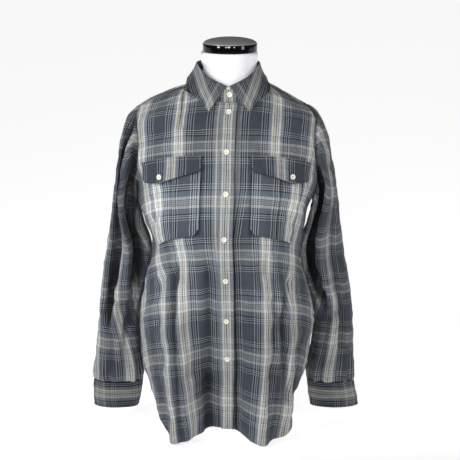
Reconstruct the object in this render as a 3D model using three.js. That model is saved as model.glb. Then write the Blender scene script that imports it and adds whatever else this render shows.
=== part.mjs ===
// A women's flannel shirt, buttoned up on a smooth limbless dress form with a metal neck cap.
// Millimetres, +Z up. The form stands on its flat oval underside, whose middle is the origin. The shirt's front faces -Y.
// The shirt is cut as the real one is: two fronts, back, yoke, two sleeves with cuffs, collar stand and fall,
// button band, two pleated pockets with pointed flaps, and buttons. Cloth is a thin wall and each piece is its own solid.
import * as THREE from "three";

// ---------------------------------------------------------------- sizes
const CLOTH = 1.5; // wall of one layer of cloth
const SEAM = 0.8; // clear gap between pieces that meet at a seam
const LAYER = 1.1; // clear gap under a piece that lies on another
const SIDE_DROP = 60; // how much lower a crosswise thread hangs at the side than at the middle
const CHEST_LINE = 560; // crosswise thread that reaches the underarm at the side
const LIFT = 0.16; // how far cloth drawn inwards lifts
const NECK = { front: 694, side: 728, back: 733, seamAngle: 80 }; // neckline heights and where the yoke starts
const ARMHOLE = { bottom: 500, top: 682, middleY: -8, front: 64, back: 72, lowPower: 0.8, highPower: 1.5 };
const YOKE_BACK = { armholeAngle: 225, middle: 612 };
const BAND = { left: 14, right: 16 }; // button band, each side of the button line
const BUTTON = { radius: 5.4, thick: 2.2, sides: 10 };
const POCKET = { inner: 50, outer: 158, top: 588, bottomInner: 447, bottomOuter: 436, chamfer: 10, pleat: 103 };
const FLAP = { inner: 48, outer: 170, top: 596, innerLow: 568, pointAt: 0.66, pointLow: 551, outerLow: 559 };
const STAND = { front: 718, side: 756, back: 762 };

// ---------------------------------------------------------------- tables, a row for each section
const rows = (names, values) =>
  values.map((v) => Object.fromEntries(names.split(" ").map((n, i) => [n, v[i]])));

// Horizontal sections of the cloth: left and right reach, button line, front and back depth, and where it is widest.
const TORSO = rows("z left right centre front back mid", [
  [0, -164, 149, -4, -127, 92, -12],
  [100, -178, 157, -5, -131, 92, -12],
  [180, -183, 165, -5.2, -136, 91, -12],
  [250, -185, 172, -7, -140, 89, -12],
  [310, -173, 158, -8, -144, 86, -13],
  [360, -161, 143, -9, -148, 84, -14],
  [400, -157, 145, -10.5, -152, 84, -15],
  [440, -169, 152, -11.4, -155, 86, -15],
  [480, -180, 159, -10, -155, 88, -14],
  [520, -192, 180, -8.4, -151, 90, -12],
  [570, -205, 192, -7, -139, 90, -10],
  [610, -211, 197, -6.5, -124, 87, -8],
  [635, -210, 195, -5.5, -112, 83, -7],
  [652, -205, 189, -4.5, -102, 79, -6],
  [665, -196, 175, -3.5, -94, 75, -5],
  [680, -175, 149, -1.5, -85, 70, -5],
  [694, -150, 124, 0, -77, 65, -6],
  [708, -114, 98, 1, -71, 60, -8],
  [720, -82, 78, 1.5, -68, 55, -10],
  [735, -70, 68, 1.8, -66, 50, -11],
]);

// Ridges and troughs that hang from the bust and shoulder blades: angle at the hem and at the top, outward reach at the hem, height where it dies.
const FOLDS = rows("hem up reach top", [
  [-90, -90, 0, 350],
  [-68, -66, -9, 330],
  [-50, -50, 2, 330],
  [-35, -33, 31, 335],
  [-12, -21, -43, 372],
  [3, 2, -32, 372],
  [25, 24, 27, 350],
  [36, 36, 8, 330],
  [47, 44, 18, 310],
  [66, 62, -15, 320],
  [90, 90, 0, 350],
  [108, 106, -8, 420],
  [124, 122, 12, 430],
  [142, 140, -13, 470],
  [158, 158, 14, 470],
  [176, 178, -15, 500],
  [194, 192, 12, 480],
  [212, 210, -14, 470],
  [230, 228, 12, 430],
  [250, 250, -8, 420],
]);

// Height of the shirt-tail hem round the body: low at the front and back, risen at the side seams.
const HEM = rows("angle z", [
  [-90, 136],
  [-78, 112],
  [-66, 72],
  [-56, 34],
  [-46, 13],
  [-20, 14],
  [0, 20],
  [22, 9],
  [42, 13],
  [54, 42],
  [68, 92],
  [90, 136],
  [112, 92],
  [134, 24],
  [180, 14],
  [226, 24],
  [248, 92],
  [270, 136],
]);
const HEM_LOW = 14;

// Sleeve outline at each height: nearest to the body, farthest from it, depth in front of and behind its middle line.
const SLEEVE_L = rows("z inner outer y front back", [
  [40, -192, -285, 4, 23, 23],
  [97, -183, -284, 5, 26, 26],
  [125, -180, -283, 9, 33, 32],
  [180, -187, -278, 14, 36, 32],
  [250, -186, -271, 18, 38, 34],
  [310, -171, -265, 20, 42, 37],
  [365, -160, -257, 19, 45, 41],
  [400, -163, -250, 16, 47, 43],
  [430, -174, -246, 10, 49, 46],
  [465, -187, -239, 3, 52, 50],
  [500, -193, -233, -3, 55, 54],
  [560, -187, -223, -6, 60, 62],
  [630, -183, -214, -6, 56, 60],
  [655, -183, -207, -6, 48, 52],
  [682, -181, -187, -6, 30, 34],
]);
const SLEEVE_R = rows("z inner outer y front back", [
  [40, 170, 268, 4, 23, 23],
  [97, 162, 259, 5, 26, 26],
  [125, 160, 258, 9, 33, 32],
  [180, 169, 258, 14, 36, 32],
  [250, 174, 254, 18, 38, 34],
  [310, 156, 246, 20, 42, 37],
  [365, 143, 236, 19, 45, 41],
  [400, 146, 230, 16, 47, 43],
  [430, 156, 226, 10, 49, 46],
  [465, 169, 222, 3, 52, 50],
  [500, 180, 217, -3, 55, 54],
  [560, 175, 207, -6, 60, 62],
  [630, 172, 198, -6, 56, 60],
  [655, 170, 191, -6, 48, 52],
  [682, 165, 171, -6, 30, 34],
]);
const CUFF_TOP = 95,
  CUFF_BOTTOM = 41;
// Long soft troughs down the sleeves: angle round the sleeve, depth, top and bottom height.
const SLEEVE_FOLDS_L = rows("angle deep wide high low", [
  [128, 13, 20, 640, 210],
  [52, 12, 22, 520, 150],
  [300, 10, 26, 560, 160],
]);
const SLEEVE_FOLDS_R = rows("angle deep wide high low", [
  [58, 13, 20, 600, 230],
  [112, 6, 24, 520, 120],
  [300, 10, 26, 560, 160],
]);

// The dress form: half widths and depths.
const FORM = rows("z half front back", [
  [0, 92, -46, 58],
  [8, 98, -50, 62],
  [50, 108, -58, 64],
  [100, 121, -66, 66],
  [150, 135, -74, 70],
  [200, 146, -82, 74],
  [250, 151, -90, 76],
  [290, 143, -96, 74],
  [330, 129, -99, 68],
  [370, 120, -103, 60],
  [400, 122, -112, 60],
  [440, 131, -134, 66],
  [480, 140, -145, 74],
  [520, 149, -142, 80],
  [570, 160, -129, 82],
  [610, 166, -113, 79],
  [640, 166, -100, 74],
  [655, 160, -92, 70],
  [665, 150, -87, 67],
  [680, 128, -78, 62],
  [694, 104, -70, 55],
  [708, 80, -65, 49],
  [722, 62, -63, 44],
  [745, 54, -63, 41],
  [765, 53.5, -64, 41],
  [783, 55, -66, 42],
]);
const CAP = { y: -12, radius: 54, low: 783.4, high: 799.5, dome: 12, bevel: 1.6, sides: 28 };
const BUTTON_ROWS = rows("z", [[673], [602], [525], [437], [352], [264], [181]]);
const COLLAR_BUTTON_Z = 710;

// ---------------------------------------------------------------- small maths
const rad = (d) => (d * Math.PI) / 180;
const mix = (a, b, t) => a + (b - a) * t;
const clamp = (x, a = 0, b = 1) => Math.min(b, Math.max(a, x));
const ease = (t) => ((t = clamp(t)), t * t * (3 - 2 * t));
const add = (p, q, k = 1) => [p[0] + q[0] * k, p[1] + q[1] * k, p[2] + q[2] * k];
const sub = (p, q) => [p[0] - q[0], p[1] - q[1], p[2] - q[2]];
const cross = (a, b) => [a[1] * b[2] - a[2] * b[1], a[2] * b[0] - a[0] * b[2], a[0] * b[1] - a[1] * b[0]];
const unit = (a) => {
  const l = Math.hypot(...a) || 1;
  return [a[0] / l, a[1] / l, a[2] / l];
};
const mixP = (p, q, t) => [mix(p[0], q[0], t), mix(p[1], q[1], t), mix(p[2], q[2], t)];

// Smooth curve through a table's column, with slopes from the neighbours.
function along(table, column, at, key = "z") {
  const n = table.length;
  if (at <= table[0][key]) return table[0][column];
  if (at >= table[n - 1][key]) return table[n - 1][column];
  let i = 0;
  while (table[i + 1][key] < at) i++;
  const slope = (k) => {
    const a = Math.max(0, k - 1),
      b = Math.min(n - 1, k + 1);
    return (table[b][column] - table[a][column]) / (table[b][key] - table[a][key]);
  };
  const h = table[i + 1][key] - table[i][key],
    t = (at - table[i][key]) / h;
  const a = table[i][column],
    b = table[i + 1][column];
  return (
    a * (2 * t ** 3 - 3 * t ** 2 + 1) +
    b * (3 * t ** 2 - 2 * t ** 3) +
    h * slope(i) * (t ** 3 - 2 * t ** 2 + t) +
    h * slope(i + 1) * (t ** 3 - t ** 2)
  );
}

// ---------------------------------------------------------------- the shirt's body surface
const drop = (angle) => SIDE_DROP * Math.pow(1 - Math.abs(Math.cos(rad(angle))), 1.15);
const wrap = (a) => ((((a + 90) % 360) + 360) % 360) - 90; // -90 .. 270, 0 is the front

// Outward reach of the hanging folds at an angle and height.
function fold(angle, z) {
  const a = wrap(angle);
  const place = FOLDS.map((f) => {
    const s = clamp((f.top - z) / (f.top - HEM_LOW));
    return { a: mix(f.up, f.hem, s), r: f.reach * Math.pow(s, 1.15) };
  });
  place.push({ a: place[0].a + 360, r: place[0].r });
  let i = 0;
  while (i < place.length - 2 && place[i + 1].a < a) i++;
  const t = clamp((a - place[i].a) / (place[i + 1].a - place[i].a));
  return mix(place[i].r, place[i + 1].r, 0.5 - 0.5 * Math.cos(Math.PI * t));
}
const hemZ = (angle) => along(HEM, "z", wrap(angle), "angle");

// A point of the cloth's outer face: angle 0 is the button line, -90 the left reach, 90 the right, 180 the back's middle.
function torso(angle, z) {
  const c = along(TORSO, "centre", z),
    s = Math.sin(rad(angle)),
    k = Math.cos(rad(angle));
  const half = s < 0 ? c - along(TORSO, "left", z) : along(TORSO, "right", z) - c;
  const mid = along(TORSO, "mid", z);
  const deep = k > 0 ? mid - along(TORSO, "front", z) : along(TORSO, "back", z) - mid;
  const x = c + half * s,
    y = mid - deep * k;
  const n = unit([s / half, -k / deep, 0]);
  const f = fold(angle, z);
  return [x + n[0] * f, y + n[1] * f, z - LIFT * f];
}
// The same point from its sideways place instead of its angle.
function angleAt(x, z, back = false) {
  const c = along(TORSO, "centre", z);
  const half = x < c ? c - along(TORSO, "left", z) : along(TORSO, "right", z) - c;
  const a = (Math.asin(clamp((x - c) / half, -1, 1)) * 180) / Math.PI;
  return back ? 180 - a : a;
}
function torsoNormal(angle, z) {
  const e = 0.5;
  const u = sub(torso(angle + e, z), torso(angle - e, z)),
    v = sub(torso(angle, z + e), torso(angle, z - e));
  const n = unit(cross(u, v));
  return n;
}
const onCloth = (angle, z, out) => add(torso(angle, z), torsoNormal(angle, z), out);

// The armhole as angle and height on the body surface. turn 0 is the underarm, 90 the front, 180 the shoulder, 270 the back.
function armhole(side, turn) {
  const t = rad(turn),
    A = ARMHOLE;
  const z = (A.bottom + A.top) / 2 - ((A.top - A.bottom) / 2) * Math.cos(t);
  const s = Math.sin(t),
    power = mix(A.lowPower, A.highPower, ease((z - A.bottom - 40) / 90));
  const y = A.middleY - (s > 0 ? A.front : -A.back) * Math.pow(Math.abs(s), power) * 1;
  const mid = along(TORSO, "mid", z);
  const deep = y < mid ? mid - along(TORSO, "front", z) : along(TORSO, "back", z) - mid;
  const k = clamp((mid - y) / deep, -1, 1);
  const a = (Math.acos(k) * 180) / Math.PI;
  return { angle: side * a, z };
}
const neckZ = (angle) => {
  const k = Math.cos(rad(angle));
  return k > 0 ? NECK.front + (NECK.side - NECK.front) * (1 - k) : NECK.side - (NECK.back - NECK.side) * k;
};

// ---------------------------------------------------------------- walls from grids
// grid[i][j] are points of the outer face. The inner face lies `thick` behind it. closed joins the last i to the first.
function wall(grid, thick, { closed = false, normals = null } = {}) {
  const nu = grid.length,
    nv = grid[0].length;
  const at = (i, j) => grid[closed ? (i + nu) % nu : clamp(i, 0, nu - 1)][clamp(j, 0, nv - 1)];
  const position = [],
    index = [];
  for (let side = 0; side < 2; side++)
    for (let i = 0; i < nu; i++)
      for (let j = 0; j < nv; j++) {
        const u = sub(at(i + 1, j), at(i - 1, j)),
          v = sub(at(i, j + 1), at(i, j - 1));
        const n = normals ? normals[i][j] : unit(cross(u, v));
        const p = side ? add(grid[i][j], n, -thick) : grid[i][j];
        position.push(...p);
      }
  const id = (i, j, side) => side * nu * nv + ((i + nu) % nu) * nv + j;
  const quad = (a, b, c, d) => index.push(a, b, c, a, c, d);
  const iu = closed ? nu : nu - 1;
  for (let i = 0; i < iu; i++)
    for (let j = 0; j < nv - 1; j++) {
      quad(id(i, j, 0), id(i + 1, j, 0), id(i + 1, j + 1, 0), id(i, j + 1, 0));
      quad(id(i, j, 1), id(i, j + 1, 1), id(i + 1, j + 1, 1), id(i + 1, j, 1));
    }
  for (let i = 0; i < iu; i++) {
    quad(id(i, 0, 0), id(i, 0, 1), id(i + 1, 0, 1), id(i + 1, 0, 0));
    quad(id(i, nv - 1, 0), id(i + 1, nv - 1, 0), id(i + 1, nv - 1, 1), id(i, nv - 1, 1));
  }
  if (!closed)
    for (let j = 0; j < nv - 1; j++) {
      quad(id(0, j, 0), id(0, j + 1, 0), id(0, j + 1, 1), id(0, j, 1));
      quad(id(nu - 1, j, 0), id(nu - 1, j, 1), id(nu - 1, j + 1, 1), id(nu - 1, j + 1, 0));
    }
  return closedGeometry(position, index);
}
// A panel of the body from a grid of angles and heights, with the surface's own outward directions.
function panel(places, thick) {
  return wall(
    places.map((c) => c.map((q) => torso(q.angle, q.z))),
    thick,
    { normals: places.map((c) => c.map((q) => torsoNormal(q.angle, q.z))) },
  );
}
// A grid may run either way. This turns it so that its outer face looks away from a point inside the garment.
function facing(grid, inside) {
  const i = Math.floor(grid.length / 2),
    j = Math.floor(grid[0].length / 2);
  const n = cross(sub(grid[i + 1][j], grid[i][j]), sub(grid[i][j + 1], grid[i][j]));
  const d = sub(grid[i][j], inside);
  return n[0] * d[0] + n[1] * d[1] + n[2] * d[2] < 0 ? [...grid].reverse() : grid;
}
// Closed geometry whose faces point outwards.
function closedGeometry(position, index) {
  let volume = 0;
  const P = (k) => position.slice(3 * k, 3 * k + 3);
  for (let f = 0; f < index.length; f += 3) {
    const [a, b, c] = [P(index[f]), P(index[f + 1]), P(index[f + 2])];
    volume += a[0] * (b[1] * c[2] - b[2] * c[1]) + a[1] * (b[2] * c[0] - b[0] * c[2]) + a[2] * (b[0] * c[1] - b[1] * c[0]);
  }
  if (volume < 0) for (let f = 0; f < index.length; f += 3) [index[f + 1], index[f + 2]] = [index[f + 2], index[f + 1]];
  const g = new THREE.BufferGeometry();
  g.setAttribute("position", new THREE.Float32BufferAttribute(position, 3));
  g.setIndex(index);
  return g;
}
// Rings stacked into one closed solid, with a flat end at each side.
function stack(rings) {
  const n = rings[0].length,
    position = rings.flat(2),
    index = [];
  for (let k = 0; k < rings.length - 1; k++)
    for (let i = 0; i < n; i++) {
      const j = (i + 1) % n,
        a = k * n + i,
        b = k * n + j,
        c = (k + 1) * n + j,
        d = (k + 1) * n + i;
      index.push(a, b, c, a, c, d);
    }
  for (const [k, flip] of [
    [0, true],
    [rings.length - 1, false],
  ]) {
    const middle = position.length / 3;
    const m = rings[k].reduce((s, p) => add(s, p, 1 / n), [0, 0, 0]);
    position.push(...m);
    for (let i = 0; i < n; i++) {
      const a = k * n + i,
        b = k * n + ((i + 1) % n);
      if (flip) index.push(middle, b, a);
      else index.push(middle, a, b);
    }
  }
  return closedGeometry(position, index);
}

// A turned solid about Z from [radius, height] pairs that start and end on the axis.
function turned(profile, sides) {
  const position = [0, 0, profile[0][1]],
    index = [],
    n = profile.length - 2;
  for (const [r, z] of profile.slice(1, -1))
    for (let i = 0; i < sides; i++) {
      const t = (2 * Math.PI * i) / sides;
      position.push(r * Math.cos(t), r * Math.sin(t), z);
    }
  position.push(0, 0, profile.at(-1)[1]);
  const id = (k, i) => 1 + k * sides + (i % sides),
    end = position.length / 3 - 1;
  for (let i = 0; i < sides; i++) {
    index.push(0, id(0, i + 1), id(0, i), end, id(n - 1, i), id(n - 1, i + 1));
    for (let k = 0; k < n - 1; k++) index.push(id(k, i), id(k, i + 1), id(k + 1, i + 1), id(k, i), id(k + 1, i + 1), id(k + 1, i));
  }
  return closedGeometry(position, index);
}

// ---------------------------------------------------------------- materials
const plain = (color, roughness, metalness = 0) => new THREE.MeshStandardMaterial({ color, roughness, metalness });
const MATERIAL = {
  flannel: plain(0x5d6470, 0.9),
  button: plain(0xe6e0c0, 0.35),
  form: plain(0xf2f3f6, 0.25),
  cap: plain(0x3a3c3f, 0.12, 1.0),
};
const root = new THREE.Group();
function piece(name, geometry, material = MATERIAL.flannel, parent = root) {
  const m = new THREE.Mesh(geometry, material);
  m.name = name;
  parent.add(m);
  return m;
}

// ---------------------------------------------------------------- fronts
const GAP_DEG = 0.14; // half of a side seam's gap, as an angle
const LOW_ROWS = 12,
  HIGH_TURNS = 11, // armhole turns of 15 degrees, from the underarm to the yoke
  TURN = 15;
const FRONT_COLUMNS = [0, 0.07, 0.14, 0.21, 0.28, 0.35, 0.42, 0.5, 0.58, 0.66, 0.75, 0.84, 0.93, 1];
const NECK_SHARE = 6; // columns that end at the neckline
const lowRow = (j) => Math.pow(j / LOW_ROWS, 0.92);

// Height of the lower block's row at an angle: the hem at 0 and the chest thread at 1.
const lowZ = (angle, v) => mix(hemZ(angle), CHEST_LINE - drop(angle), v);
const yokeNeck = (side) => ({ angle: side * NECK.seamAngle, z: neckZ(NECK.seamAngle) });

// One front: rows run up from the hem, columns from the button line (u 0) to the side seam and armhole (u 1).
function frontGrid(side, startX) {
  const start = (z) => along(TORSO, "centre", z) + startX;
  const grid = [];
  const end = armhole(side, HIGH_TURNS * TURN),
    neck = yokeNeck(side);
  const topPoint = (i) => {
    const n = FRONT_COLUMNS.length - 1;
    if (i <= NECK_SHARE) {
      const a0 = angleAt(start(NECK.front), NECK.front),
        a = mix(a0, neck.angle, i / NECK_SHARE);
      return { angle: a, z: neckZ(a) };
    }
    const t = (i - NECK_SHARE) / (n - NECK_SHARE);
    return { angle: mix(neck.angle, end.angle, t), z: mix(neck.z, end.z, t) };
  };
  const X = (q) => {
    const p = torso(q.angle, q.z);
    return p[0];
  };
  FRONT_COLUMNS.forEach((u, i) => {
    const column = [];
    for (let j = 0; j <= LOW_ROWS; j++) {
      const v = lowRow(j);
      const z0 = lowZ(0, v);
      const a0 = angleAt(start(z0), z0),
        a = mix(a0, side * (90 - GAP_DEG), u);
      column.push({ angle: a, z: lowZ(a, v) });
    }
    const last = FRONT_COLUMNS.length - 1;
    for (let j = 1; j <= HIGH_TURNS; j++) {
      const v = j / HIGH_TURNS;
      // four edges of the upper block, in sideways place and height
      const zl = mix(CHEST_LINE, NECK.front, v),
        left = [start(zl), zl];
      const r = armhole(side, j * TURN),
        right = [X(r), r.z];
      const chest = (k) => {
        const a0 = angleAt(start(CHEST_LINE), CHEST_LINE),
          a = mix(a0, side * (90 - GAP_DEG), FRONT_COLUMNS[k]);
        return [X({ angle: a, z: CHEST_LINE - drop(a) }), CHEST_LINE - drop(a)];
      };
      const b = chest(i),
        tp = topPoint(i),
        t = [X(tp), tp.z];
      const c00 = chest(0),
        c10 = chest(last),
        c01 = [X(topPoint(0)), topPoint(0).z],
        c11 = [X(topPoint(last)), topPoint(last).z];
      const q = [0, 1].map(
        (k) =>
          (1 - u) * left[k] +
          u * right[k] +
          (1 - v) * b[k] +
          v * t[k] -
          ((1 - u) * (1 - v) * c00[k] + u * (1 - v) * c10[k] + (1 - u) * v * c01[k] + u * v * c11[k]),
      );
      if (j === HIGH_TURNS) column.push({ angle: tp.angle, z: tp.z - SEAM * 1.8 });
      else if (i === last) column.push(r);
      else column.push({ angle: angleAt(q[0], q[1]), z: q[1] });
    }
    grid.push(column);
  });
  return grid;
}
const FRONT_START = { left: -3.5, right: 1.5 }; // where each front stops under the button band
const HEART = [0, -15, 450]; // a point inside the body
piece("front_right", panel(frontGrid(-1, FRONT_START.left), CLOTH));
piece("front_left", panel(frontGrid(1, FRONT_START.right), CLOTH));

// ---------------------------------------------------------------- back and yoke
const BACK_COLUMNS = 16; // across the whole back
const BACK_TURNS = (360 - YOKE_BACK.armholeAngle) / TURN; // armhole turns below the yoke
const backAngle = (u) => mix(-90 - GAP_DEG, -270 + GAP_DEG, u); // from the left side seam round the back to the right one
const yokeEnd = (side) => armhole(side, YOKE_BACK.armholeAngle);
// Yoke seam across the back: from one armhole to the other, lower in the middle by a little curve.
function yokeSeam(u, below) {
  const l = yokeEnd(-1),
    r = yokeEnd(1);
  const a = mix(wrapBack(l.angle), wrapBack(r.angle), u);
  const z = mix(l.z, r.z, u) + (YOKE_BACK.middle - l.z) * Math.sin(Math.PI * u);
  return { angle: a, z: z + (below ? -SEAM / 2 : SEAM / 2) };
}
function wrapBack(a) {
  return a > 0 ? a - 360 : a;
}
{
  const grid = [];
  for (let i = 0; i <= BACK_COLUMNS; i++) {
    const u = i / BACK_COLUMNS,
      column = [];
    for (let j = 0; j <= LOW_ROWS; j++) {
      const a = backAngle(u);
      column.push({ angle: a, z: lowZ(a, lowRow(j)) });
    }
    for (let j = 1; j <= BACK_TURNS; j++) {
      const v = j / BACK_TURNS;
      const l = armhole(-1, 360 - j * TURN),
        r = armhole(1, 360 - j * TURN);
      const bottom = { angle: backAngle(u), z: CHEST_LINE - drop(backAngle(u)) },
        top = yokeSeam(u, true);
      const e = { l: [wrapBack(l.angle), l.z], r: [wrapBack(r.angle), r.z] };
      const b = [bottom.angle, bottom.z],
        t = [top.angle, top.z];
      const c = (uu, tp) => (tp ? [yokeSeam(uu, true).angle, yokeSeam(uu, true).z] : [backAngle(uu), CHEST_LINE - drop(backAngle(uu))]);
      const [c00, c10, c01, c11] = [c(0, 0), c(1, 0), c(0, 1), c(1, 1)];
      const q = [0, 1].map(
        (k) =>
          (1 - u) * e.l[k] + u * e.r[k] + (1 - v) * b[k] + v * t[k] -
          ((1 - u) * (1 - v) * c00[k] + u * (1 - v) * c10[k] + (1 - u) * v * c01[k] + u * v * c11[k]),
      );
      column.push({ angle: q[0], z: q[1] });
    }
    grid.push(column);
  }
  piece("back", panel(grid, CLOTH));
}
{
  // Yoke: from the left front seam over both shoulders and the back to the right front seam.
  const lower = [];
  for (let k = HIGH_TURNS * TURN; k < YOKE_BACK.armholeAngle; k += TURN) {
    const a = armhole(-1, k);
    lower.push({ angle: k === HIGH_TURNS * TURN ? a.angle : wrapBack(a.angle), z: a.z });
  }
  for (let i = 0; i <= BACK_COLUMNS; i++) lower.push(yokeSeam(i / BACK_COLUMNS, false));
  for (let k = YOKE_BACK.armholeAngle - TURN; k >= HIGH_TURNS * TURN; k -= TURN) {
    const a = armhole(1, k);
    lower.push({ angle: wrapBack(a.angle), z: a.z });
  }
  const from = -NECK.seamAngle,
    to = -360 + NECK.seamAngle,
    n = lower.length - 1,
    VROWS = 5;
  const grid = lower.map((low, i) => {
    const a = mix(from, to, i / n),
      top = { angle: a, z: neckZ(a) };
    const column = [];
    for (let j = 0; j <= VROWS; j++) {
      const v = j / VROWS;
      column.push({ angle: mix(low.angle, top.angle, v), z: mix(low.z + (i > 1 && i < n - 1 ? 0 : SEAM), top.z, v) });
    }
    return column;
  });
  piece("yoke", panel(grid, CLOTH));
}

// ---------------------------------------------------------------- sleeves and cuffs
// A sleeve point: turn 0 faces the body, 90 the front, 180 outwards, 270 the back. v 0 is the armhole and 1 the cuff seam.
const SLEEVE_ROWS = [0, 0.035, 0.09, 0.16, 0.24, 0.33, 0.43, 0.53, 0.63, 0.73, 0.82, 0.9, 0.96, 1];
const SLEEVE_TURNS = 24;
function sleevePoint(side, turn, v) {
  const table = side < 0 ? SLEEVE_L : SLEEVE_R,
    folds = side < 0 ? SLEEVE_FOLDS_L : SLEEVE_FOLDS_R;
  const a = armhole(side, turn),
    start = torso(a.angle, a.z);
  const z = mix(start[2], CUFF_TOP + SEAM, v);
  const inner = along(table, "inner", z),
    outer = along(table, "outer", z);
  const t = rad(turn),
    s = Math.sin(t),
    k = Math.cos(t);
  let x = mix(inner, outer, (1 - k) / 2),
    y = along(table, "y", z) - s * along(table, s > 0 ? "front" : "back", z);
  // the troughs go straight in towards the middle line
  for (const f of folds) {
    let d = Math.abs(((turn - f.angle + 540) % 360) - 180) / f.wide;
    if (d < 1) {
      const run = ease((f.high - z) / 70) * ease((z - f.low) / 90);
      const g = f.deep * run * Math.pow(Math.cos((d * Math.PI) / 2), 2);
      x -= ((g * (x - (inner + outer) / 2)) / Math.abs((outer - inner) / 2)) * 0.5;
      y += g * s;
    }
  }
  const w = 1 - Math.pow(1 - clamp(v / 0.22), mix(1.5, 3.2, ease((0.4 - k) / 1)));
  return mixP(start, [x, y, z], w);
}
for (const [side, name] of [
  [-1, "right"],
  [1, "left"],
]) {
  const grid = [];
  for (let i = 0; i < SLEEVE_TURNS; i++) {
    const turn = i * (360 / SLEEVE_TURNS),
      column = [];
    SLEEVE_ROWS.forEach((v, j) => {
      let p = sleevePoint(side, turn, v);
      if (j === 0) p = add(p, unit(sub(sleevePoint(side, turn, SLEEVE_ROWS[1]), p)), 2.6 + 2.2 * ease(Math.cos(rad(turn)) + 0.5) + 1.4 * ease(-Math.cos(rad(turn)) * 3 - 2));
      column.push(p);
    });
    grid.push(column);
  }
  const core = (g) => g.reduce((s, c) => add(s, c[1], 1 / g.length), [0, 0, 0]);
  piece("sleeve_" + name, wall(facing(grid, core(grid)), CLOTH, { closed: true }));
  // Cuff: a band one layer thick, a little proud of the sleeve's end, with an overlap button at the back.
  const cuff = [];
  for (let i = 0; i < SLEEVE_TURNS; i++) {
    const turn = i * (360 / SLEEVE_TURNS),
      column = [];
    for (const z of [CUFF_TOP, (CUFF_TOP + CUFF_BOTTOM) / 2, CUFF_BOTTOM]) {
      const table = side < 0 ? SLEEVE_L : SLEEVE_R;
      const inner = along(table, "inner", z),
        outer = along(table, "outer", z);
      const s = Math.sin(rad(turn)),
        k = Math.cos(rad(turn));
      column.push([mix(inner, outer, (1 - k) / 2), along(table, "y", z) - s * along(table, s > 0 ? "front" : "back", z), z]);
    }
    cuff.push(column);
  }
  piece("cuff_" + name, wall(facing(cuff, core(cuff)), CLOTH + 0.4, { closed: true }));
}

// ---------------------------------------------------------------- button band, pockets and flaps
{
  const grid = [];
  for (const x of [-BAND.left, -BAND.left / 2, 0.5, BAND.right / 2, BAND.right]) {
    const column = [];
    const out = LAYER + 0.5 + CLOTH + (x === BAND.right ? 0.9 : 0);
    for (let j = 0; j <= LOW_ROWS + 6; j++) {
      const z = j <= LOW_ROWS ? lowZ(0, lowRow(j)) : mix(CHEST_LINE, NECK.front - 4, (j - LOW_ROWS) / 6);
      const a = angleAt(along(TORSO, "centre", z) + x, z);
      column.push(onCloth(a, z, out));
    }
    grid.push(column);
  }
  piece("button_band", wall(facing(grid, HEART), CLOTH));
}
// A point of a front by its distance from the button line along the cloth, and its thread height.
function onFront(side, across, thread, out) {
  // walk round the section until the way along it is `across`
  let angle = 0,
    done = 0,
    p = torso(0, thread);
  const step = 1.5;
  while (done < across && Math.abs(angle) < 88) {
    const a = angle + side * step,
      q = torso(a, thread - drop(a));
    const d = Math.hypot(q[0] - p[0], q[1] - p[1]);
    if (done + d >= across) {
      angle += (side * step * (across - done)) / d;
      break;
    }
    done += d;
    angle = a;
    p = q;
  }
  return onCloth(angle, thread - drop(angle), out);
}
for (const [side, name] of [
  [-1, "right"],
  [1, "left"],
]) {
  const P = POCKET,
    F = FLAP;
  // Pocket bag: the pleat's fold makes its inner half stand a little higher.
  const pocket = [];
  const columns = [0, 0.09, 0.25, 0.4, 0.49, 0.53, 0.68, 0.84, 1];
  for (const u of columns) {
    const across = mix(P.inner, P.outer, u),
      column = [];
    const low = mix(P.bottomInner, P.bottomOuter, u) + (u === 0 ? P.chamfer : 0);
    for (let j = 0; j <= 6; j++) {
      const v = j / 6;
      const raised = u < 0.51 ? 1.4 * ease(u / 0.45) : 0;
      column.push(onFront(side, across, mix(low, P.top, v), LAYER + 0.9 + CLOTH + raised));
    }
    pocket.push(column);
  }
  piece("pocket_" + name, wall(facing(pocket, HEART), CLOTH));
  // Flap: pointed, deepest two thirds of the way out.
  const flap = [];
  for (const u of [0, 0.08, 0.25, 0.42, 0.54, 0.66, 0.8, 0.92, 1]) {
    const across = mix(F.inner, F.outer, u);
    const low = u < F.pointAt ? mix(F.innerLow, F.pointLow, u / F.pointAt) : mix(F.pointLow, F.outerLow, (u - F.pointAt) / (1 - F.pointAt));
    const cut = u === 0 || u === 1 ? 6 : 0,
      column = [];
    for (let j = 0; j <= 3; j++) {
      const v = j / 3;
      column.push(onFront(side, across, mix(low + cut, F.top, v), 2 * (LAYER + CLOTH) + 0.5 + 1.6 * ease(u / 0.3) + 1.2 * (1 - v)));
    }
    flap.push(column);
  }
  piece("flap_" + name, wall(facing(flap, HEART), CLOTH));
}

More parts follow.
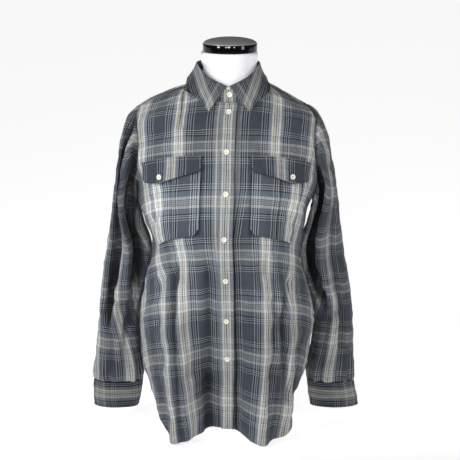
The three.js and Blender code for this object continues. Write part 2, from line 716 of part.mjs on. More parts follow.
// ---------------------------------------------------------------- collar
// The neck ring at an angle: bottom of the stand, its top edge, and the fall's outer edge.
const standTop = (angle) => {
  const k = Math.cos(rad(angle));
  return k > 0 ? STAND.front + (STAND.side - STAND.front) * (1 - k) : STAND.side - (STAND.back - STAND.side) * k;
};
function standPoint(angle, v, out = 0) {
  const foot = torso(angle, neckZ(angle) + 0.6),
    s = Math.sin(rad(angle)),
    k = Math.cos(rad(angle));
  const top = [-3.5 + 60.3 * s, -13 - (k > 0 ? 59.5 : 57.5) * k, standTop(angle)];
  const p = mixP([foot[0] - s * 4.6, foot[1] + k * 3.4, foot[2] + 3.4 + 1.4 * ease(-s * 1.3)], top, v);
  return add(p, [s, -k, 0], out);
}
const STAND_STEPS = 32;
const NECK_MIDDLE = [0, -12, 725];
{
  const grid = [];
  const first = -3.2,
    last = -360 + 3.2;
  for (let i = 0; i <= STAND_STEPS; i++) {
    const a = mix(first, last, i / STAND_STEPS);
    grid.push([0, 0.5, 1].map((v) => standPoint(a, v)));
  }
  piece("collar_stand", wall(facing(grid, NECK_MIDDLE), CLOTH + 0.5));
  // The stand's overlapping tab, which carries the top button.
  const tab = [];
  for (const a of [-12, -7, -1, 5, 10, 13]) tab.push([0.04, 0.5, a > 9 ? 0.85 : 0.96].map((v) => standPoint(a, v, 3.4)));
  piece("collar_tab", wall(facing(tab, NECK_MIDDLE), CLOTH + 0.3));
}
// The fall: where it folds over the stand and where its free edge lies, from a front point round to the back's middle.
const FALL_LINE = rows("t foldX foldY foldZ edgeX edgeY edgeZ", [
  [0, 3, -77, 722.5, 38.5, -92, 677],
  [0.08, 15, -74.5, 728.5, 44.5, -88.5, 680.5],
  [0.2, 31, -68.5, 736, 53.5, -81, 691],
  [0.33, 43.5, -58, 744.5, 63, -70.5, 706],
  [0.46, 54.5, -43, 755, 73, -56, 722],
  [0.58, 61.5, -23, 762, 77.5, -34, 733],
  [0.7, 61.5, 5, 764, 77, 6, 736],
  [0.82, 47.5, 31, 765, 62, 42, 732],
  [0.92, 23, 46, 766, 34, 61, 727],
  [1, 0, 49.5, 766, 0, 66, 725],
]);
const FALL_SHIFT = -3.5; // the collar sits a little to the left of the middle
function fallPoint(t, h) {
  const side = Math.sign(t) || 1,
    m = 1 - Math.abs(t);
  const get = (k) => along(FALL_LINE, k, m, "t");
  const fold = [side * get("foldX") + FALL_SHIFT, get("foldY"), get("foldZ")],
    edge = [side * get("edgeX") + FALL_SHIFT * 0.6, get("edgeY"), get("edgeZ")];
  const p = mixP(fold, edge, h),
    away = unit([edge[0] + 3, edge[1] + 12, 0]),
    bulge = 4 * h * (1 - h) * 1;
  return [p[0] + away[0] * bulge, p[1] + away[1] * bulge, p[2] + bulge * 0.5];
}
{
  const grid = [];
  const STEPS = 30;
  for (let i = 0; i <= STEPS; i++) grid.push([0, 0.33, 0.67, 1].map((h) => fallPoint(mix(-1, 1, i / STEPS) || 1e-6, h)));
  piece("collar_fall", wall(facing(grid, NECK_MIDDLE), CLOTH));
}

// ---------------------------------------------------------------- buttons
// Low round button with a dished face, its axis along the cloth's outward direction.
function buttonMesh(name, point, normal) {
  const r = BUTTON.radius,
    h = BUTTON.thick;
  const profile = [
    [0, 0],
    [r * 0.82, 0],
    [r, h * 0.45],
    [r * 0.8, h],
    [0, h * 0.72],
  ];
  const m = piece(name, turned(profile, BUTTON.sides), MATERIAL.button);
  m.position.set(...point);
  m.quaternion.setFromUnitVectors(new THREE.Vector3(0, 0, 1), new THREE.Vector3(...normal));
}
BUTTON_ROWS.forEach((b, i) => {
  const c = along(TORSO, "centre", b.z),
    a = angleAt(c, b.z);
  buttonMesh("button_front_" + (i + 2), onCloth(a, b.z, 2 * LAYER + CLOTH + 0.3), torsoNormal(a, b.z));
});
{
  const p = standPoint(0.8, 0.52, 4.1);
  buttonMesh("button_front_1", p, [0, -1, 0.05].map((x) => x / Math.hypot(1, 0.05)));
  for (const [side, name] of [
    [-1, "right"],
    [1, "left"],
  ]) {
    const across = mix(FLAP.inner, FLAP.outer, FLAP.pointAt);
    const out = 2 * (LAYER + CLOTH) + 3.9;
    const q = onFront(side, across, FLAP.pointLow + 12, out),
      e = onFront(side, across, FLAP.pointLow + 12, out + 1);
    buttonMesh("button_flap_" + name, q, unit(sub(e, q)));
    // cuff button, on the outer back of the cuff
    const table = side < 0 ? SLEEVE_L : SLEEVE_R;
    const z = (CUFF_TOP + CUFF_BOTTOM) / 2,
      turn = 240;
    const inner = along(table, "inner", z),
      outer = along(table, "outer", z);
    const s = Math.sin(rad(turn)),
      k = Math.cos(rad(turn));
    const half = (outer - inner) / 2;
    const on = [mix(inner, outer, (1 - k) / 2), along(table, "y", z) - s * along(table, "back", z), z];
    const n = unit([-k / half, -s / along(table, "back", z), 0]);
    buttonMesh("button_cuff_" + name, add(on, n, 0.5), n);
  }
}

// ---------------------------------------------------------------- dress form and neck cap
{
  const SIDES = 36,
    rings = FORM.map((f) => {
      const ring = [];
      const mid = (f.front + f.back) / 2;
      const neck = ease((f.z - 700) / 30);
      for (let i = 0; i < SIDES; i++) {
        const t = (i / SIDES) * 2 * Math.PI;
        const s = Math.sin(t),
          k = Math.cos(t);
        const power = mix(0.88, 1, neck);
        ring.push([f.half * Math.sign(s) * Math.pow(Math.abs(s), power), mid - ((f.back - f.front) / 2) * Math.sign(k) * Math.pow(Math.abs(k), power), f.z]);
      }
      return ring;
    });
  piece("dress_form", stack(rings), MATERIAL.form);
  const C = CAP;
  const profile = [
    [0, C.low],
    [C.radius, C.low],
    [C.radius, C.high - C.bevel],
    [C.radius - C.bevel, C.high],
    [C.radius * 0.6, C.high + C.dome * 0.62],
    [C.radius * 0.3, C.high + C.dome * 0.92],
    [0, C.high + C.dome],
  ];
  piece("neck_cap", turned(profile, C.sides), MATERIAL.cap).position.y = C.y;
}

export default root;
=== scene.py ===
# A women's plaid flannel shirt on a smooth dress form with a metal neck cap.
# The cloth follows the same sections as its solids, with finer folds and a woven plaid laid out in the cloth's own
# coordinates: U runs across a piece and V along it, in metres of cloth.
import bpy, math
import numpy as np
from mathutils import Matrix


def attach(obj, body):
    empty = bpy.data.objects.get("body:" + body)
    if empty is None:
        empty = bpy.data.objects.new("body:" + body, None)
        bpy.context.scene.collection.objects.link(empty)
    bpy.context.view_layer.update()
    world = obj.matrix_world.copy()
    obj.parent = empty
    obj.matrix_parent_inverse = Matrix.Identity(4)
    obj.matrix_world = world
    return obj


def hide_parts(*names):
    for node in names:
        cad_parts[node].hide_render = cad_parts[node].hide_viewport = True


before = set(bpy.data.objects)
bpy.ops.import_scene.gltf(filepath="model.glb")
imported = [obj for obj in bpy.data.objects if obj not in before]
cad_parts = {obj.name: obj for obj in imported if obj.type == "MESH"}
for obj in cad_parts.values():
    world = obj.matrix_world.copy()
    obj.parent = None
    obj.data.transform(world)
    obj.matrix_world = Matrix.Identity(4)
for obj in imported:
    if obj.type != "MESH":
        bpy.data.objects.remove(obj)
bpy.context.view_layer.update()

# ------------------------------------------------------------------ camera, floor, light
scene = bpy.context.scene
cam_data = bpy.data.cameras.new("camera")
cam = bpy.data.objects.new("camera", cam_data)
scene.collection.objects.link(cam)
cam.location = (0, -2.857, 1.1115)
cam.rotation_euler = (math.radians(90 - 13.65), 0, 0)
cam_data.lens = 112.75
cam_data.sensor_width = 36
cam_data.clip_end = 60
scene.camera = cam

world = bpy.data.worlds.new("studio")
scene.world = world
world.use_nodes = True
world.node_tree.nodes["Background"].inputs[0].default_value = (1.0, 1.0, 1.0, 1)
world.node_tree.nodes["Background"].inputs[1].default_value = 0.15


def area_light(name, place, aim, size, power, shape="RECTANGLE", size_y=None, color=(1, 1, 1)):
    d = bpy.data.lights.new(name, "AREA")
    d.shape = shape
    d.size = size
    if size_y:
        d.size_y = size_y
    d.energy = power
    d.color = color
    o = bpy.data.objects.new(name, d)
    scene.collection.objects.link(o)
    o.location = place
    v = np.array(aim, float) - np.array(place, float)
    from mathutils import Vector

    o.rotation_euler = Vector(v).to_track_quat("-Z", "Y").to_euler()
    return o


area_light("key", (-1.65, -1.45, 1.25), (0, 0, 0.5), 0.45, 25, size_y=0.6, color=(0.95, 0.98, 1.0))
area_light("fill", (1.9, -1.35, 0.95), (0, 0, 0.5), 0.5, 8, size_y=0.6, color=(1.0, 0.995, 0.98))
spot = bpy.data.lights.new("front", "SPOT")
spot.energy, spot.spot_size, spot.spot_blend, spot.shadow_soft_size = 125, math.radians(24), 1.0, 0.3
spot_ob = bpy.data.objects.new("front", spot)
scene.collection.objects.link(spot_ob)
spot_ob.location = (-0.25, -2.9, 1.35)
from mathutils import Vector

spot_ob.rotation_euler = (Vector((0, 0, 0.6)) - spot_ob.location).to_track_quat("-Z", "Y").to_euler()
area_light("spot_left", (-0.72, -2.3, 1.15), (0, 0, 0.79), 0.20, 4.2, "DISK")
area_light("spot_right", (0.72, -2.3, 1.15), (0, 0, 0.79), 0.19, 3.6, "DISK")


# ------------------------------------------------------------------ tables (millimetres), as in the solids
def rows(names, values):
    names = names.split()
    return {n: np.array([v[i] for v in values], float) for i, n in enumerate(names)}


CLOTH, LAYER, SIDE_DROP, CHEST_LINE, LIFT, HEM_LOW = 1.5, 1.1, 60.0, 560.0, 0.16, 14.0
NECK = dict(front=694, side=728, back=733, seam=80)
ARM = dict(bottom=500, top=682, middle=-8, front=64, back=72, low=0.8, high=1.5)
YOKE_TURN, YOKE_MIDDLE, HIGH_TURN = 225, 612, 165
BAND = dict(left=14, right=16)
POCKET = dict(inner=50, outer=158, top=588, bottomInner=447, bottomOuter=436, chamfer=10)
FLAP = dict(inner=48, outer=170, top=596, innerLow=568, pointAt=0.66, pointLow=551, outerLow=559)
STAND = dict(front=718, side=756, back=762)
CUFF_TOP, CUFF_BOTTOM = 95.0, 41.0
BUTTON_Z = [673, 602, 525, 437, 352, 264, 181]

TORSO = rows(
    "z left right centre front back mid",
    [
        [0, -164, 149, -4, -127, 92, -12],
        [100, -178, 157, -5, -131, 92, -12],
        [180, -183, 165, -5.2, -136, 91, -12],
        [250, -185, 172, -7, -140, 89, -12],
        [310, -173, 158, -8, -144, 86, -13],
        [360, -161, 143, -9, -148, 84, -14],
        [400, -157, 145, -10.5, -152, 84, -15],
        [440, -169, 152, -11.4, -155, 86, -15],
        [480, -180, 159, -10, -155, 88, -14],
        [520, -192, 180, -8.4, -151, 90, -12],
        [570, -205, 192, -7, -139, 90, -10],
        [610, -211, 197, -6.5, -124, 87, -8],
        [635, -210, 195, -5.5, -112, 83, -7],
        [652, -205, 189, -4.5, -102, 79, -6],
        [665, -196, 175, -3.5, -94, 75, -5],
        [680, -175, 149, -1.5, -85, 70, -5],
        [694, -150, 124, 0, -77, 65, -6],
        [708, -114, 98, 1, -71, 60, -8],
        [720, -82, 78, 1.5, -68, 55, -10],
        [735, -70, 68, 1.8, -66, 50, -11],
    ],
)
FOLDS = rows(
    "hem up reach top",
    [
        [-90, -90, 0, 350],
        [-68, -66, -9, 330],
        [-50, -50, 2, 330],
        [-35, -33, 31, 335],
        [-12, -21, -43, 372],
        [3, 2, -32, 372],
        [25, 24, 27, 350],
        [36, 36, 8, 330],
        [47, 44, 18, 310],
        [66, 62, -15, 320],
        [90, 90, 0, 350],
        [108, 106, -8, 420],
        [124, 122, 12, 430],
        [142, 140, -13, 470],
        [158, 158, 14, 470],
        [176, 178, -15, 500],
        [194, 192, 12, 480],
        [212, 210, -14, 470],
        [230, 228, 12, 430],
        [250, 250, -8, 420],
        [270, 270, 0, 350],
    ],
)
HEM = rows(
    "angle z",
    [
        [-90, 136], [-78, 112], [-66, 72], [-56, 34], [-46, 13], [-20, 14], [0, 20], [22, 9], [42, 13],
        [54, 42], [68, 92], [90, 136], [112, 92], [134, 24], [180, 14], [226, 24], [248, 92], [270, 136],
    ],
)
SLEEVE = {
    -1: rows(
        "z inner outer y front back",
        [
            [40, -192, -285, 4, 23, 23],
            [97, -183, -284, 5, 26, 26],
            [125, -180, -283, 9, 33, 32],
            [180, -187, -278, 14, 36, 32],
            [250, -186, -271, 18, 38, 34],
            [310, -171, -265, 20, 42, 37],
            [365, -160, -257, 19, 45, 41],
            [400, -163, -250, 16, 47, 43],
            [430, -174, -246, 10, 49, 46],
            [465, -187, -239, 3, 52, 50],
            [500, -193, -233, -3, 55, 54],
            [560, -187, -223, -6, 60, 62],
            [630, -183, -214, -6, 56, 60],
            [655, -183, -207, -6, 48, 52],
            [682, -181, -187, -6, 30, 34],
        ],
    ),
    1: rows(
        "z inner outer y front back",
        [
            [40, 170, 268, 4, 23, 23],
            [97, 162, 259, 5, 26, 26],
            [125, 160, 258, 9, 33, 32],
            [180, 169, 258, 14, 36, 32],
            [250, 174, 254, 18, 38, 34],
            [310, 156, 246, 20, 42, 37],
            [365, 143, 236, 19, 45, 41],
            [400, 146, 230, 16, 47, 43],
            [430, 156, 226, 10, 49, 46],
            [465, 169, 222, 3, 52, 50],
            [500, 180, 217, -3, 55, 54],
            [560, 175, 207, -6, 60, 62],
            [630, 172, 198, -6, 56, 60],
            [655, 170, 191, -6, 48, 52],
            [682, 165, 171, -6, 30, 34],
        ],
    ),
}
SLEEVE_FOLDS = {
    -1: [(128, 13, 20, 640, 210), (52, 12, 22, 520, 150), (300, 10, 26, 560, 160)],
    1: [(58, 13, 20, 600, 230), (112, 6, 24, 520, 120), (300, 10, 26, 560, 160)],
}
FORM = rows(
    "z half front back",
    [
        [0, 92, -46, 58],
        [8, 98, -50, 62],
        [50, 108, -58, 64],
        [100, 121, -66, 66],
        [150, 135, -74, 70],
        [200, 146, -82, 74],
        [250, 151, -90, 76],
        [290, 143, -96, 74],
        [330, 129, -99, 68],
        [370, 120, -103, 60],
        [400, 122, -112, 60],
        [440, 131, -134, 66],
        [480, 140, -145, 74],
        [520, 149, -142, 80],
        [570, 160, -129, 82],
        [610, 166, -113, 79],
        [640, 166, -100, 74],
        [655, 160, -92, 70],
        [665, 150, -87, 67],
        [680, 128, -78, 62],
        [694, 104, -70, 55],
        [708, 80, -65, 49],
        [722, 62, -63, 44],
        [745, 54, -63, 41],
        [765, 53.5, -64, 41],
        [783, 55, -66, 42],
    ],
)
CAP = dict(y=-12, radius=54, low=783.4, high=799.5, dome=12)
FALL_LINE = rows(
    "t foldX foldY foldZ edgeX edgeY edgeZ",
    [
        [0, 3, -77, 722.5, 38.5, -92, 677],
        [0.08, 15, -74.5, 728.5, 44.5, -88.5, 680.5],
        [0.2, 31, -68.5, 736, 53.5, -81, 691],
        [0.33, 43.5, -58, 743.5, 71, -69, 707],
        [0.46, 54.5, -43, 753, 82, -54, 718.5],
        [0.58, 61.0, -23, 759, 84, -33, 728],
        [0.7, 61.5, 5, 761, 80, 6, 732],
        [0.82, 47.5, 31, 762, 61, 42, 731],
        [0.92, 23, 46, 763, 34, 61, 727],
        [1, 0, 49.5, 763, 0, 66, 725],
    ],
)
FALL_SHIFT = -3.5


# ------------------------------------------------------------------ small maths
def along(table, column, at, key="z"):
    """Smooth curve through a table's column, with slopes from the neighbours."""
    x, y = table[key], table[column]
    at = np.clip(np.asarray(at, float), x[0], x[-1])
    n = len(x)
    lo, hi = np.maximum(np.arange(n) - 1, 0), np.minimum(np.arange(n) + 1, n - 1)
    slope = (y[hi] - y[lo]) / (x[hi] - x[lo])
    i = np.clip(np.searchsorted(x, at, side="right") - 1, 0, n - 2)
    h = x[i + 1] - x[i]
    t = (at - x[i]) / h
    return (
        y[i] * (2 * t**3 - 3 * t**2 + 1)
        + y[i + 1] * (3 * t**2 - 2 * t**3)
        + h * slope[i] * (t**3 - 2 * t**2 + t)
        + h * slope[i + 1] * (t**3 - t**2)
    )


def ease(t):
    t = np.clip(t, 0, 1)
    return t * t * (3 - 2 * t)


def mix(a, b, t):
    return a + (b - a) * t


def unit(v):
    return v / np.maximum(np.linalg.norm(v, axis=-1, keepdims=True), 1e-9)


def drop(angle):
    return SIDE_DROP * np.power(1 - np.abs(np.cos(np.radians(angle))), 1.15)


def wrap(a):
    return (np.asarray(a, float) + 90) % 360 - 90


class Rough:
    """Smooth uneven field made of a few waves, the same every time."""

    def __init__(self, seed, low, high, count=14, stretch=1.0, tilt=None):
        r = np.random.RandomState(seed)
        k = 2 * np.pi / np.exp(r.uniform(np.log(low), np.log(high), count))
        d = r.uniform(0, 2 * np.pi, count) if tilt is None else r.normal(tilt[0], tilt[1], count)
        self.kx, self.ky = k * np.cos(d), k * np.sin(d) / stretch
        self.p = r.uniform(0, 2 * np.pi, count)
        self.n = math.sqrt(count / 2)

    def __call__(self, u, v):
        s = 0
        for kx, ky, p in zip(self.kx, self.ky, self.p):
            s = s + np.sin(kx * u + ky * v + p)
        return s / self.n


def creases(u, v, table):
    """Soft troughs (negative) and ridges: from (u0, v0) to (u1, v1), bowed sideways, with a width and a height."""
    out = np.zeros(np.broadcast(u, v).shape)
    for u0, v0, u1, v1, bow, wide, high in table:
        L = math.hypot(u1 - u0, v1 - v0)
        du, dv = (u1 - u0) / L, (v1 - v0) / L
        s = (u - u0) * du + (v - v0) * dv
        q = -(u - u0) * dv + (v - v0) * du
        t = s / L
        q = q - bow * 4 * np.clip(t, -0.2, 1.2) * (1 - np.clip(t, -0.2, 1.2))
        end = ease((t + 0.12) / 0.3) * ease((1.12 - t) / 0.3)
        out = out + high * end * (np.exp(-((q / wide) ** 2)) - 0.35 * np.exp(-(((np.abs(q) - 1.9 * wide) / wide) ** 2)))
    return out


# ------------------------------------------------------------------ body surface
def fold(angle, z):
    a = wrap(angle)
    s = np.clip((FOLDS["top"][:, None] - np.ravel(z)[None]) / (FOLDS["top"][:, None] - HEM_LOW), 0, 1)
    place = FOLDS["up"][:, None] + (FOLDS["hem"] - FOLDS["up"])[:, None] * s
    reach = FOLDS["reach"][:, None] * s**1.15
    aa = np.ravel(a)
    i = np.clip((place <= aa[None]).sum(axis=0) - 1, 0, len(FOLDS["hem"]) - 2)
    c = np.arange(len(aa))
    t = np.clip((aa - place[i, c]) / (place[i + 1, c] - place[i, c]), 0, 1)
    r = mix(reach[i, c], reach[i + 1, c], 0.5 - 0.5 * np.cos(np.pi * t))
    return r.reshape(np.shape(a))


def hem_z(angle):
    return along(HEM, "z", wrap(angle), "angle")


def torso(angle, z, relief=None):
    angle, z = np.broadcast_arrays(np.asarray(angle, float), np.asarray(z, float))
    c = along(TORSO, "centre", z)
    s, k = np.sin(np.radians(angle)), np.cos(np.radians(angle))
    half = np.where(s < 0, c - along(TORSO, "left", z), along(TORSO, "right", z) - c)
    mid = along(TORSO, "mid", z)
    deep = np.where(k > 0, mid - along(TORSO, "front", z), along(TORSO, "back", z) - mid)
    x, y = c + half * s, mid - deep * k
    n = unit(np.stack([s / half, -k / deep, np.zeros_like(s)], -1))
    f = fold(angle, z)
    out = np.stack([x + n[..., 0] * f, y + n[..., 1] * f, z - LIFT * f], -1)
    return out


def angle_at(x, z):
    c = along(TORSO, "centre", z)
    half = np.where(x < c, c - along(TORSO, "left", z), along(TORSO, "right", z) - c)
    return np.degrees(np.arcsin(np.clip((x - c) / half, -1, 1)))


def torso_normal(angle, z):
    e = 0.5
    return unit(np.cross(torso(angle + e, z) - torso(angle - e, z), torso(angle, z + e) - torso(angle, z - e)))


def armhole(side, turn):
    t = np.radians(turn)
    z = (ARM["bottom"] + ARM["top"]) / 2 - (ARM["top"] - ARM["bottom"]) / 2 * np.cos(t)
    s = np.sin(t)
    power = mix(ARM["low"], ARM["high"], ease((z - ARM["bottom"] - 40) / 90))
    y = ARM["middle"] - np.where(s > 0, ARM["front"], -ARM["back"]) * np.abs(s) ** power
    mid = along(TORSO, "mid", z)
    deep = np.where(y < mid, mid - along(TORSO, "front", z), along(TORSO, "back", z) - mid)
    a = np.degrees(np.arccos(np.clip((mid - y) / deep, -1, 1)))
    return side * a, z


def neck_z(angle):
    k = np.cos(np.radians(angle))
    return np.where(
        k > 0,
        NECK["front"] + (NECK["side"] - NECK["front"]) * (1 - k),
        NECK["side"] - (NECK["back"] - NECK["side"]) * k,
    )


# Cloth coordinates of the body: how far a place is across from the button line or the back's middle, and how high its thread is.
T_GRID = np.arange(0, 801, 8.0)
A_FRONT = np.arange(-96, 96.1, 1.0)
A_BACK = np.arange(84, 276.1, 1.0)


def across_table(angles, zero):
    P = torso(angles[:, None], T_GRID[None] - drop(angles)[:, None])
    step = np.linalg.norm(np.diff(P, axis=0), axis=-1)
    c = np.vstack([np.zeros((1, len(T_GRID))), np.cumsum(step, axis=0)])
    return c - c[np.argmin(np.abs(angles - zero))][None]


U_FRONT, U_BACK = across_table(A_FRONT, 0), across_table(A_BACK, 180)
_z = np.arange(-40, 801, 2.0)
_p = torso(0 * _z, _z)
V_LINE = np.concatenate([[0], np.cumsum(np.linalg.norm(np.diff(_p[:, 1:], axis=0), axis=-1))])
V_LINE -= np.interp(437, _z, V_LINE)  # zero at the fourth buttonhole down


def bilinear(table, a0, angles, T):
    i = np.clip((angles - a0), 0, table.shape[0] - 1.001)
    j = np.clip(T / 8.0, 0, table.shape[1] - 1.001)
    i0, j0 = i.astype(int), j.astype(int)
    fi, fj = i - i0, j - j0
    return (
        table[i0, j0] * (1 - fi) * (1 - fj)
        + table[i0 + 1, j0] * fi * (1 - fj)
        + table[i0, j0 + 1] * (1 - fi) * fj
        + table[i0 + 1, j0 + 1] * fi * fj
    )


def cloth_uv(angle, z, back=False):
    T = z + drop(angle)
    if back:
        a = (angle + 720) % 360
        return bilinear(U_BACK, A_BACK[0], a, T), np.interp(T, _z, V_LINE)
    return bilinear(U_FRONT, A_FRONT[0], angle, T), np.interp(T, _z, V_LINE)


# ------------------------------------------------------------------ mesh building
MATERIALS = {}


def grid_normals(P, closed=False):
    if closed:
        du = np.roll(P, -1, 0) - np.roll(P, 1, 0)
    else:
        du = np.gradient(P, axis=0)
    dv = np.gradient(P, axis=1)
    return unit(np.cross(du, dv))


def add_mesh(name, verts, faces, uv, edge, material, smooth=True, shade=None):
    me = bpy.data.meshes.new(name)
    me.from_pydata([tuple(v) for v in (verts / 1000.0).tolist()], [], faces)
    me.validate(clean_customdata=False)
    if uv is not None:
        loops = np.empty(len(me.loops), dtype=np.int32)
        me.loops.foreach_get("vertex_index", loops)
        for nm, data in (("cloth", uv), ("edge", edge), ("shade", shade)):
            layer = me.uv_layers.new(name=nm)
            layer.data.foreach_set("uv", (data[loops] / 1000.0).astype(np.float32).ravel())
    me.polygons.foreach_set("use_smooth", [smooth] * len(me.polygons))
    o = bpy.data.objects.new(name, me)
    scene.collection.objects.link(o)
    me.materials.append(MATERIALS[material])
    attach(o, "root")
    return o


def shell(name, P, UV, node, thick=CLOTH, material="flannel", closed=False, normals=None, edge_u=True, edge_v=(True, True), phase=(0, 0), shade=None):
    """A thin wall of cloth from a grid of its outer face. UV holds cloth millimetres."""
    N = grid_normals(P, closed) if normals is None else normals
    shade = np.ones(P.shape[:2]) if shade is None else np.broadcast_to(shade, P.shape[:2])
    if closed:
        shade = np.concatenate([shade, shade[:1]])
    nu, nv = P.shape[:2]
    if closed:  # repeat the first column, so that the cloth coordinates can have a seam
        P, UV2 = np.concatenate([P, P[:1]]), UV
        N = np.concatenate([N, N[:1]])
        nu += 1
        UV = UV2
    # distance from the nearest long edge and the nearest cross edge, in cloth millimetres
    lu = np.concatenate([np.zeros((1, nv)), np.cumsum(np.linalg.norm(np.diff(P, axis=0), axis=-1), axis=0)])
    lv = np.concatenate([np.zeros((nu, 1)), np.cumsum(np.linalg.norm(np.diff(P, axis=1), axis=-1), axis=1)], axis=1)
    eu = np.minimum(lu, lu[-1:] - lu) if (edge_u and not closed) else np.full((nu, nv), 500.0)
    low = lv if edge_v[0] else np.full((nu, nv), 500.0)
    high = lv[:, -1:] - lv if edge_v[1] else np.full((nu, nv), 500.0)
    E = np.stack([eu, np.minimum(low, high)], -1)
    uvp = UV + np.array(phase)
    inner = P - N * thick
    verts = np.concatenate([P.reshape(-1, 3), inner.reshape(-1, 3)])
    uv = np.concatenate([uvp.reshape(-1, 2)] * 2)
    ed = np.concatenate([E.reshape(-1, 2)] * 2)
    # the inner face, and the rims as they run to it, carry painted shade (×0.4)
    sh = np.clip(np.concatenate([shade.reshape(-1), shade.reshape(-1) * 0.4]), 0.12, 1.5)
    sh = np.stack([sh, sh], -1) * 1000.0
    ids = np.arange(nu * nv).reshape(nu, nv)
    a, b, c, d = ids[:-1, :-1], ids[1:, :-1], ids[1:, 1:], ids[:-1, 1:]
    outer = np.stack([a, b, c, d], -1).reshape(-1, 4)
    m = nu * nv
    inn = np.stack([a, d, c, b], -1).reshape(-1, 4) + m
    rim = []
    i = np.arange(nu - 1)
    rim.append(np.stack([ids[i, 0], ids[i, 0] + m, ids[i + 1, 0] + m, ids[i + 1, 0]], -1))
    rim.append(np.stack([ids[i, -1], ids[i + 1, -1], ids[i + 1, -1] + m, ids[i, -1] + m], -1))
    if not closed:
        j = np.arange(nv - 1)
        rim.append(np.stack([ids[0, j], ids[0, j + 1], ids[0, j + 1] + m, ids[0, j] + m], -1))
        rim.append(np.stack([ids[-1, j], ids[-1, j] + m, ids[-1, j + 1] + m, ids[-1, j + 1]], -1))
    faces = np.concatenate([outer, inn] + rim).tolist()
    o = add_mesh(name, verts, faces, uv, ed, material, shade=sh)
    if closed:  # join the repeated column, which keeps each face's own cloth coordinates
        import bmesh

        bm = bmesh.new()
        bm.from_mesh(o.data)
        bmesh.ops.remove_doubles(bm, verts=bm.verts, dist=1e-6)
        bm.to_mesh(o.data)
        bm.free()
    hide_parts(*([node] if isinstance(node, str) else node))
    return o


# ------------------------------------------------------------------ materials
def linear(r, g, b):
    return tuple(((c / 255 / 12.92) if c / 255 <= 0.04045 else ((c / 255 + 0.055) / 1.055) ** 2.4) for c in (r, g, b)) + (1,)


# Half of the sett from the middle of the light bar to the middle of the dark block: where each stripe starts (mm), and its yarn.
YARN = dict(
    slate=(63, 68, 76), black=(10, 11, 15), grey=(150, 155, 163), blue=(137, 144, 153), cream=(224, 222, 212), pale=(205, 205, 200),
    stone=(171, 171, 165), dusk=(92, 100, 110), ash=(148, 151, 154),
)
WARP_HALF = 41.5
WARP = [
    (0, "black"), (0.5, "pale"), (4.1, "black"), (5.0, "cream"), (8.9, "blue"), (15.4, "black"), (18.1, "grey"), (19.6, "slate"),
    (22.5, "grey"), (24.0, "black"), (27.3, "grey"), (29.0, "slate"),
]
WEFT_HALF = 53.5
WEFT = [
    (0, "ash"), (1.3, "black"), (2.2, "ash"), (4.5, "black"), (5.5, "stone"), (11, "dusk"), (21, "black"), (24, "ash"), (25.6, "slate"),
    (28.2, "ash"), (29.7, "black"), (32.6, "ash"), (34.2, "slate"),
]


class Nodes:
    def __init__(self, name):
        self.mat = bpy.data.materials.new(name)
        self.mat.use_nodes = True
        self.t = self.mat.node_tree
        self.bsdf = self.t.nodes["Principled BSDF"]

    def new(self, kind, **inputs):
        n = self.t.nodes.new(kind)
        for k, v in inputs.items():
            self.put(n.inputs[int(k[1:])] if k[0] == "i" and k[1:].isdigit() else n.inputs[k], v)
        return n

    def put(self, socket, v):
        if isinstance(v, bpy.types.NodeSocket):
            self.t.links.new(v, socket)
        else:
            socket.default_value = v

    def math(self, op, a, b=None, c=None):
        n = self.t.nodes.new("ShaderNodeMath")
        n.operation = op
        for i, v in enumerate((a, b, c)):
            if v is not None:
                self.put(n.inputs[i], v)
        return n.outputs[0]

    def ramp(self, fac, stops, interpolation="CONSTANT"):
        n = self.t.nodes.new("ShaderNodeValToRGB")
        n.color_ramp.interpolation = interpolation
        e = n.color_ramp.elements
        while len(e) > 1:
            e.remove(e[-1])
        e[0].position, e[0].color = stops[0]
        for p, c in stops[1:]:
            x = e.new(p)
            x.color = c
        self.put(n.inputs[0], fac)
        return n.outputs[0]

    def mixc(self, fac, a, b, mode="MIX"):
        n = self.t.nodes.new("ShaderNodeMix")
        n.data_type = "RGBA"
        n.blend_type = mode
        self.put(n.inputs[0], fac)
        self.put(n.inputs[6], a)
        self.put(n.inputs[7], b)
        return n.outputs[2]

    def noise(self, vec, scale, detail=2.0, rough=0.5):
        n = self.t.nodes.new("ShaderNodeTexNoise")
        self.put(n.inputs["Vector"], vec)
        n.inputs["Scale"].default_value = scale
        n.inputs["Detail"].default_value = detail
        n.inputs["Roughness"].default_value = rough
        return n.outputs[0]

    def combine(self, x, y, z=0.0):
        n = self.t.nodes.new("ShaderNodeCombineXYZ")
        for i, v in enumerate((x, y, z)):
            self.put(n.inputs[i], v)
        return n.outputs[0]


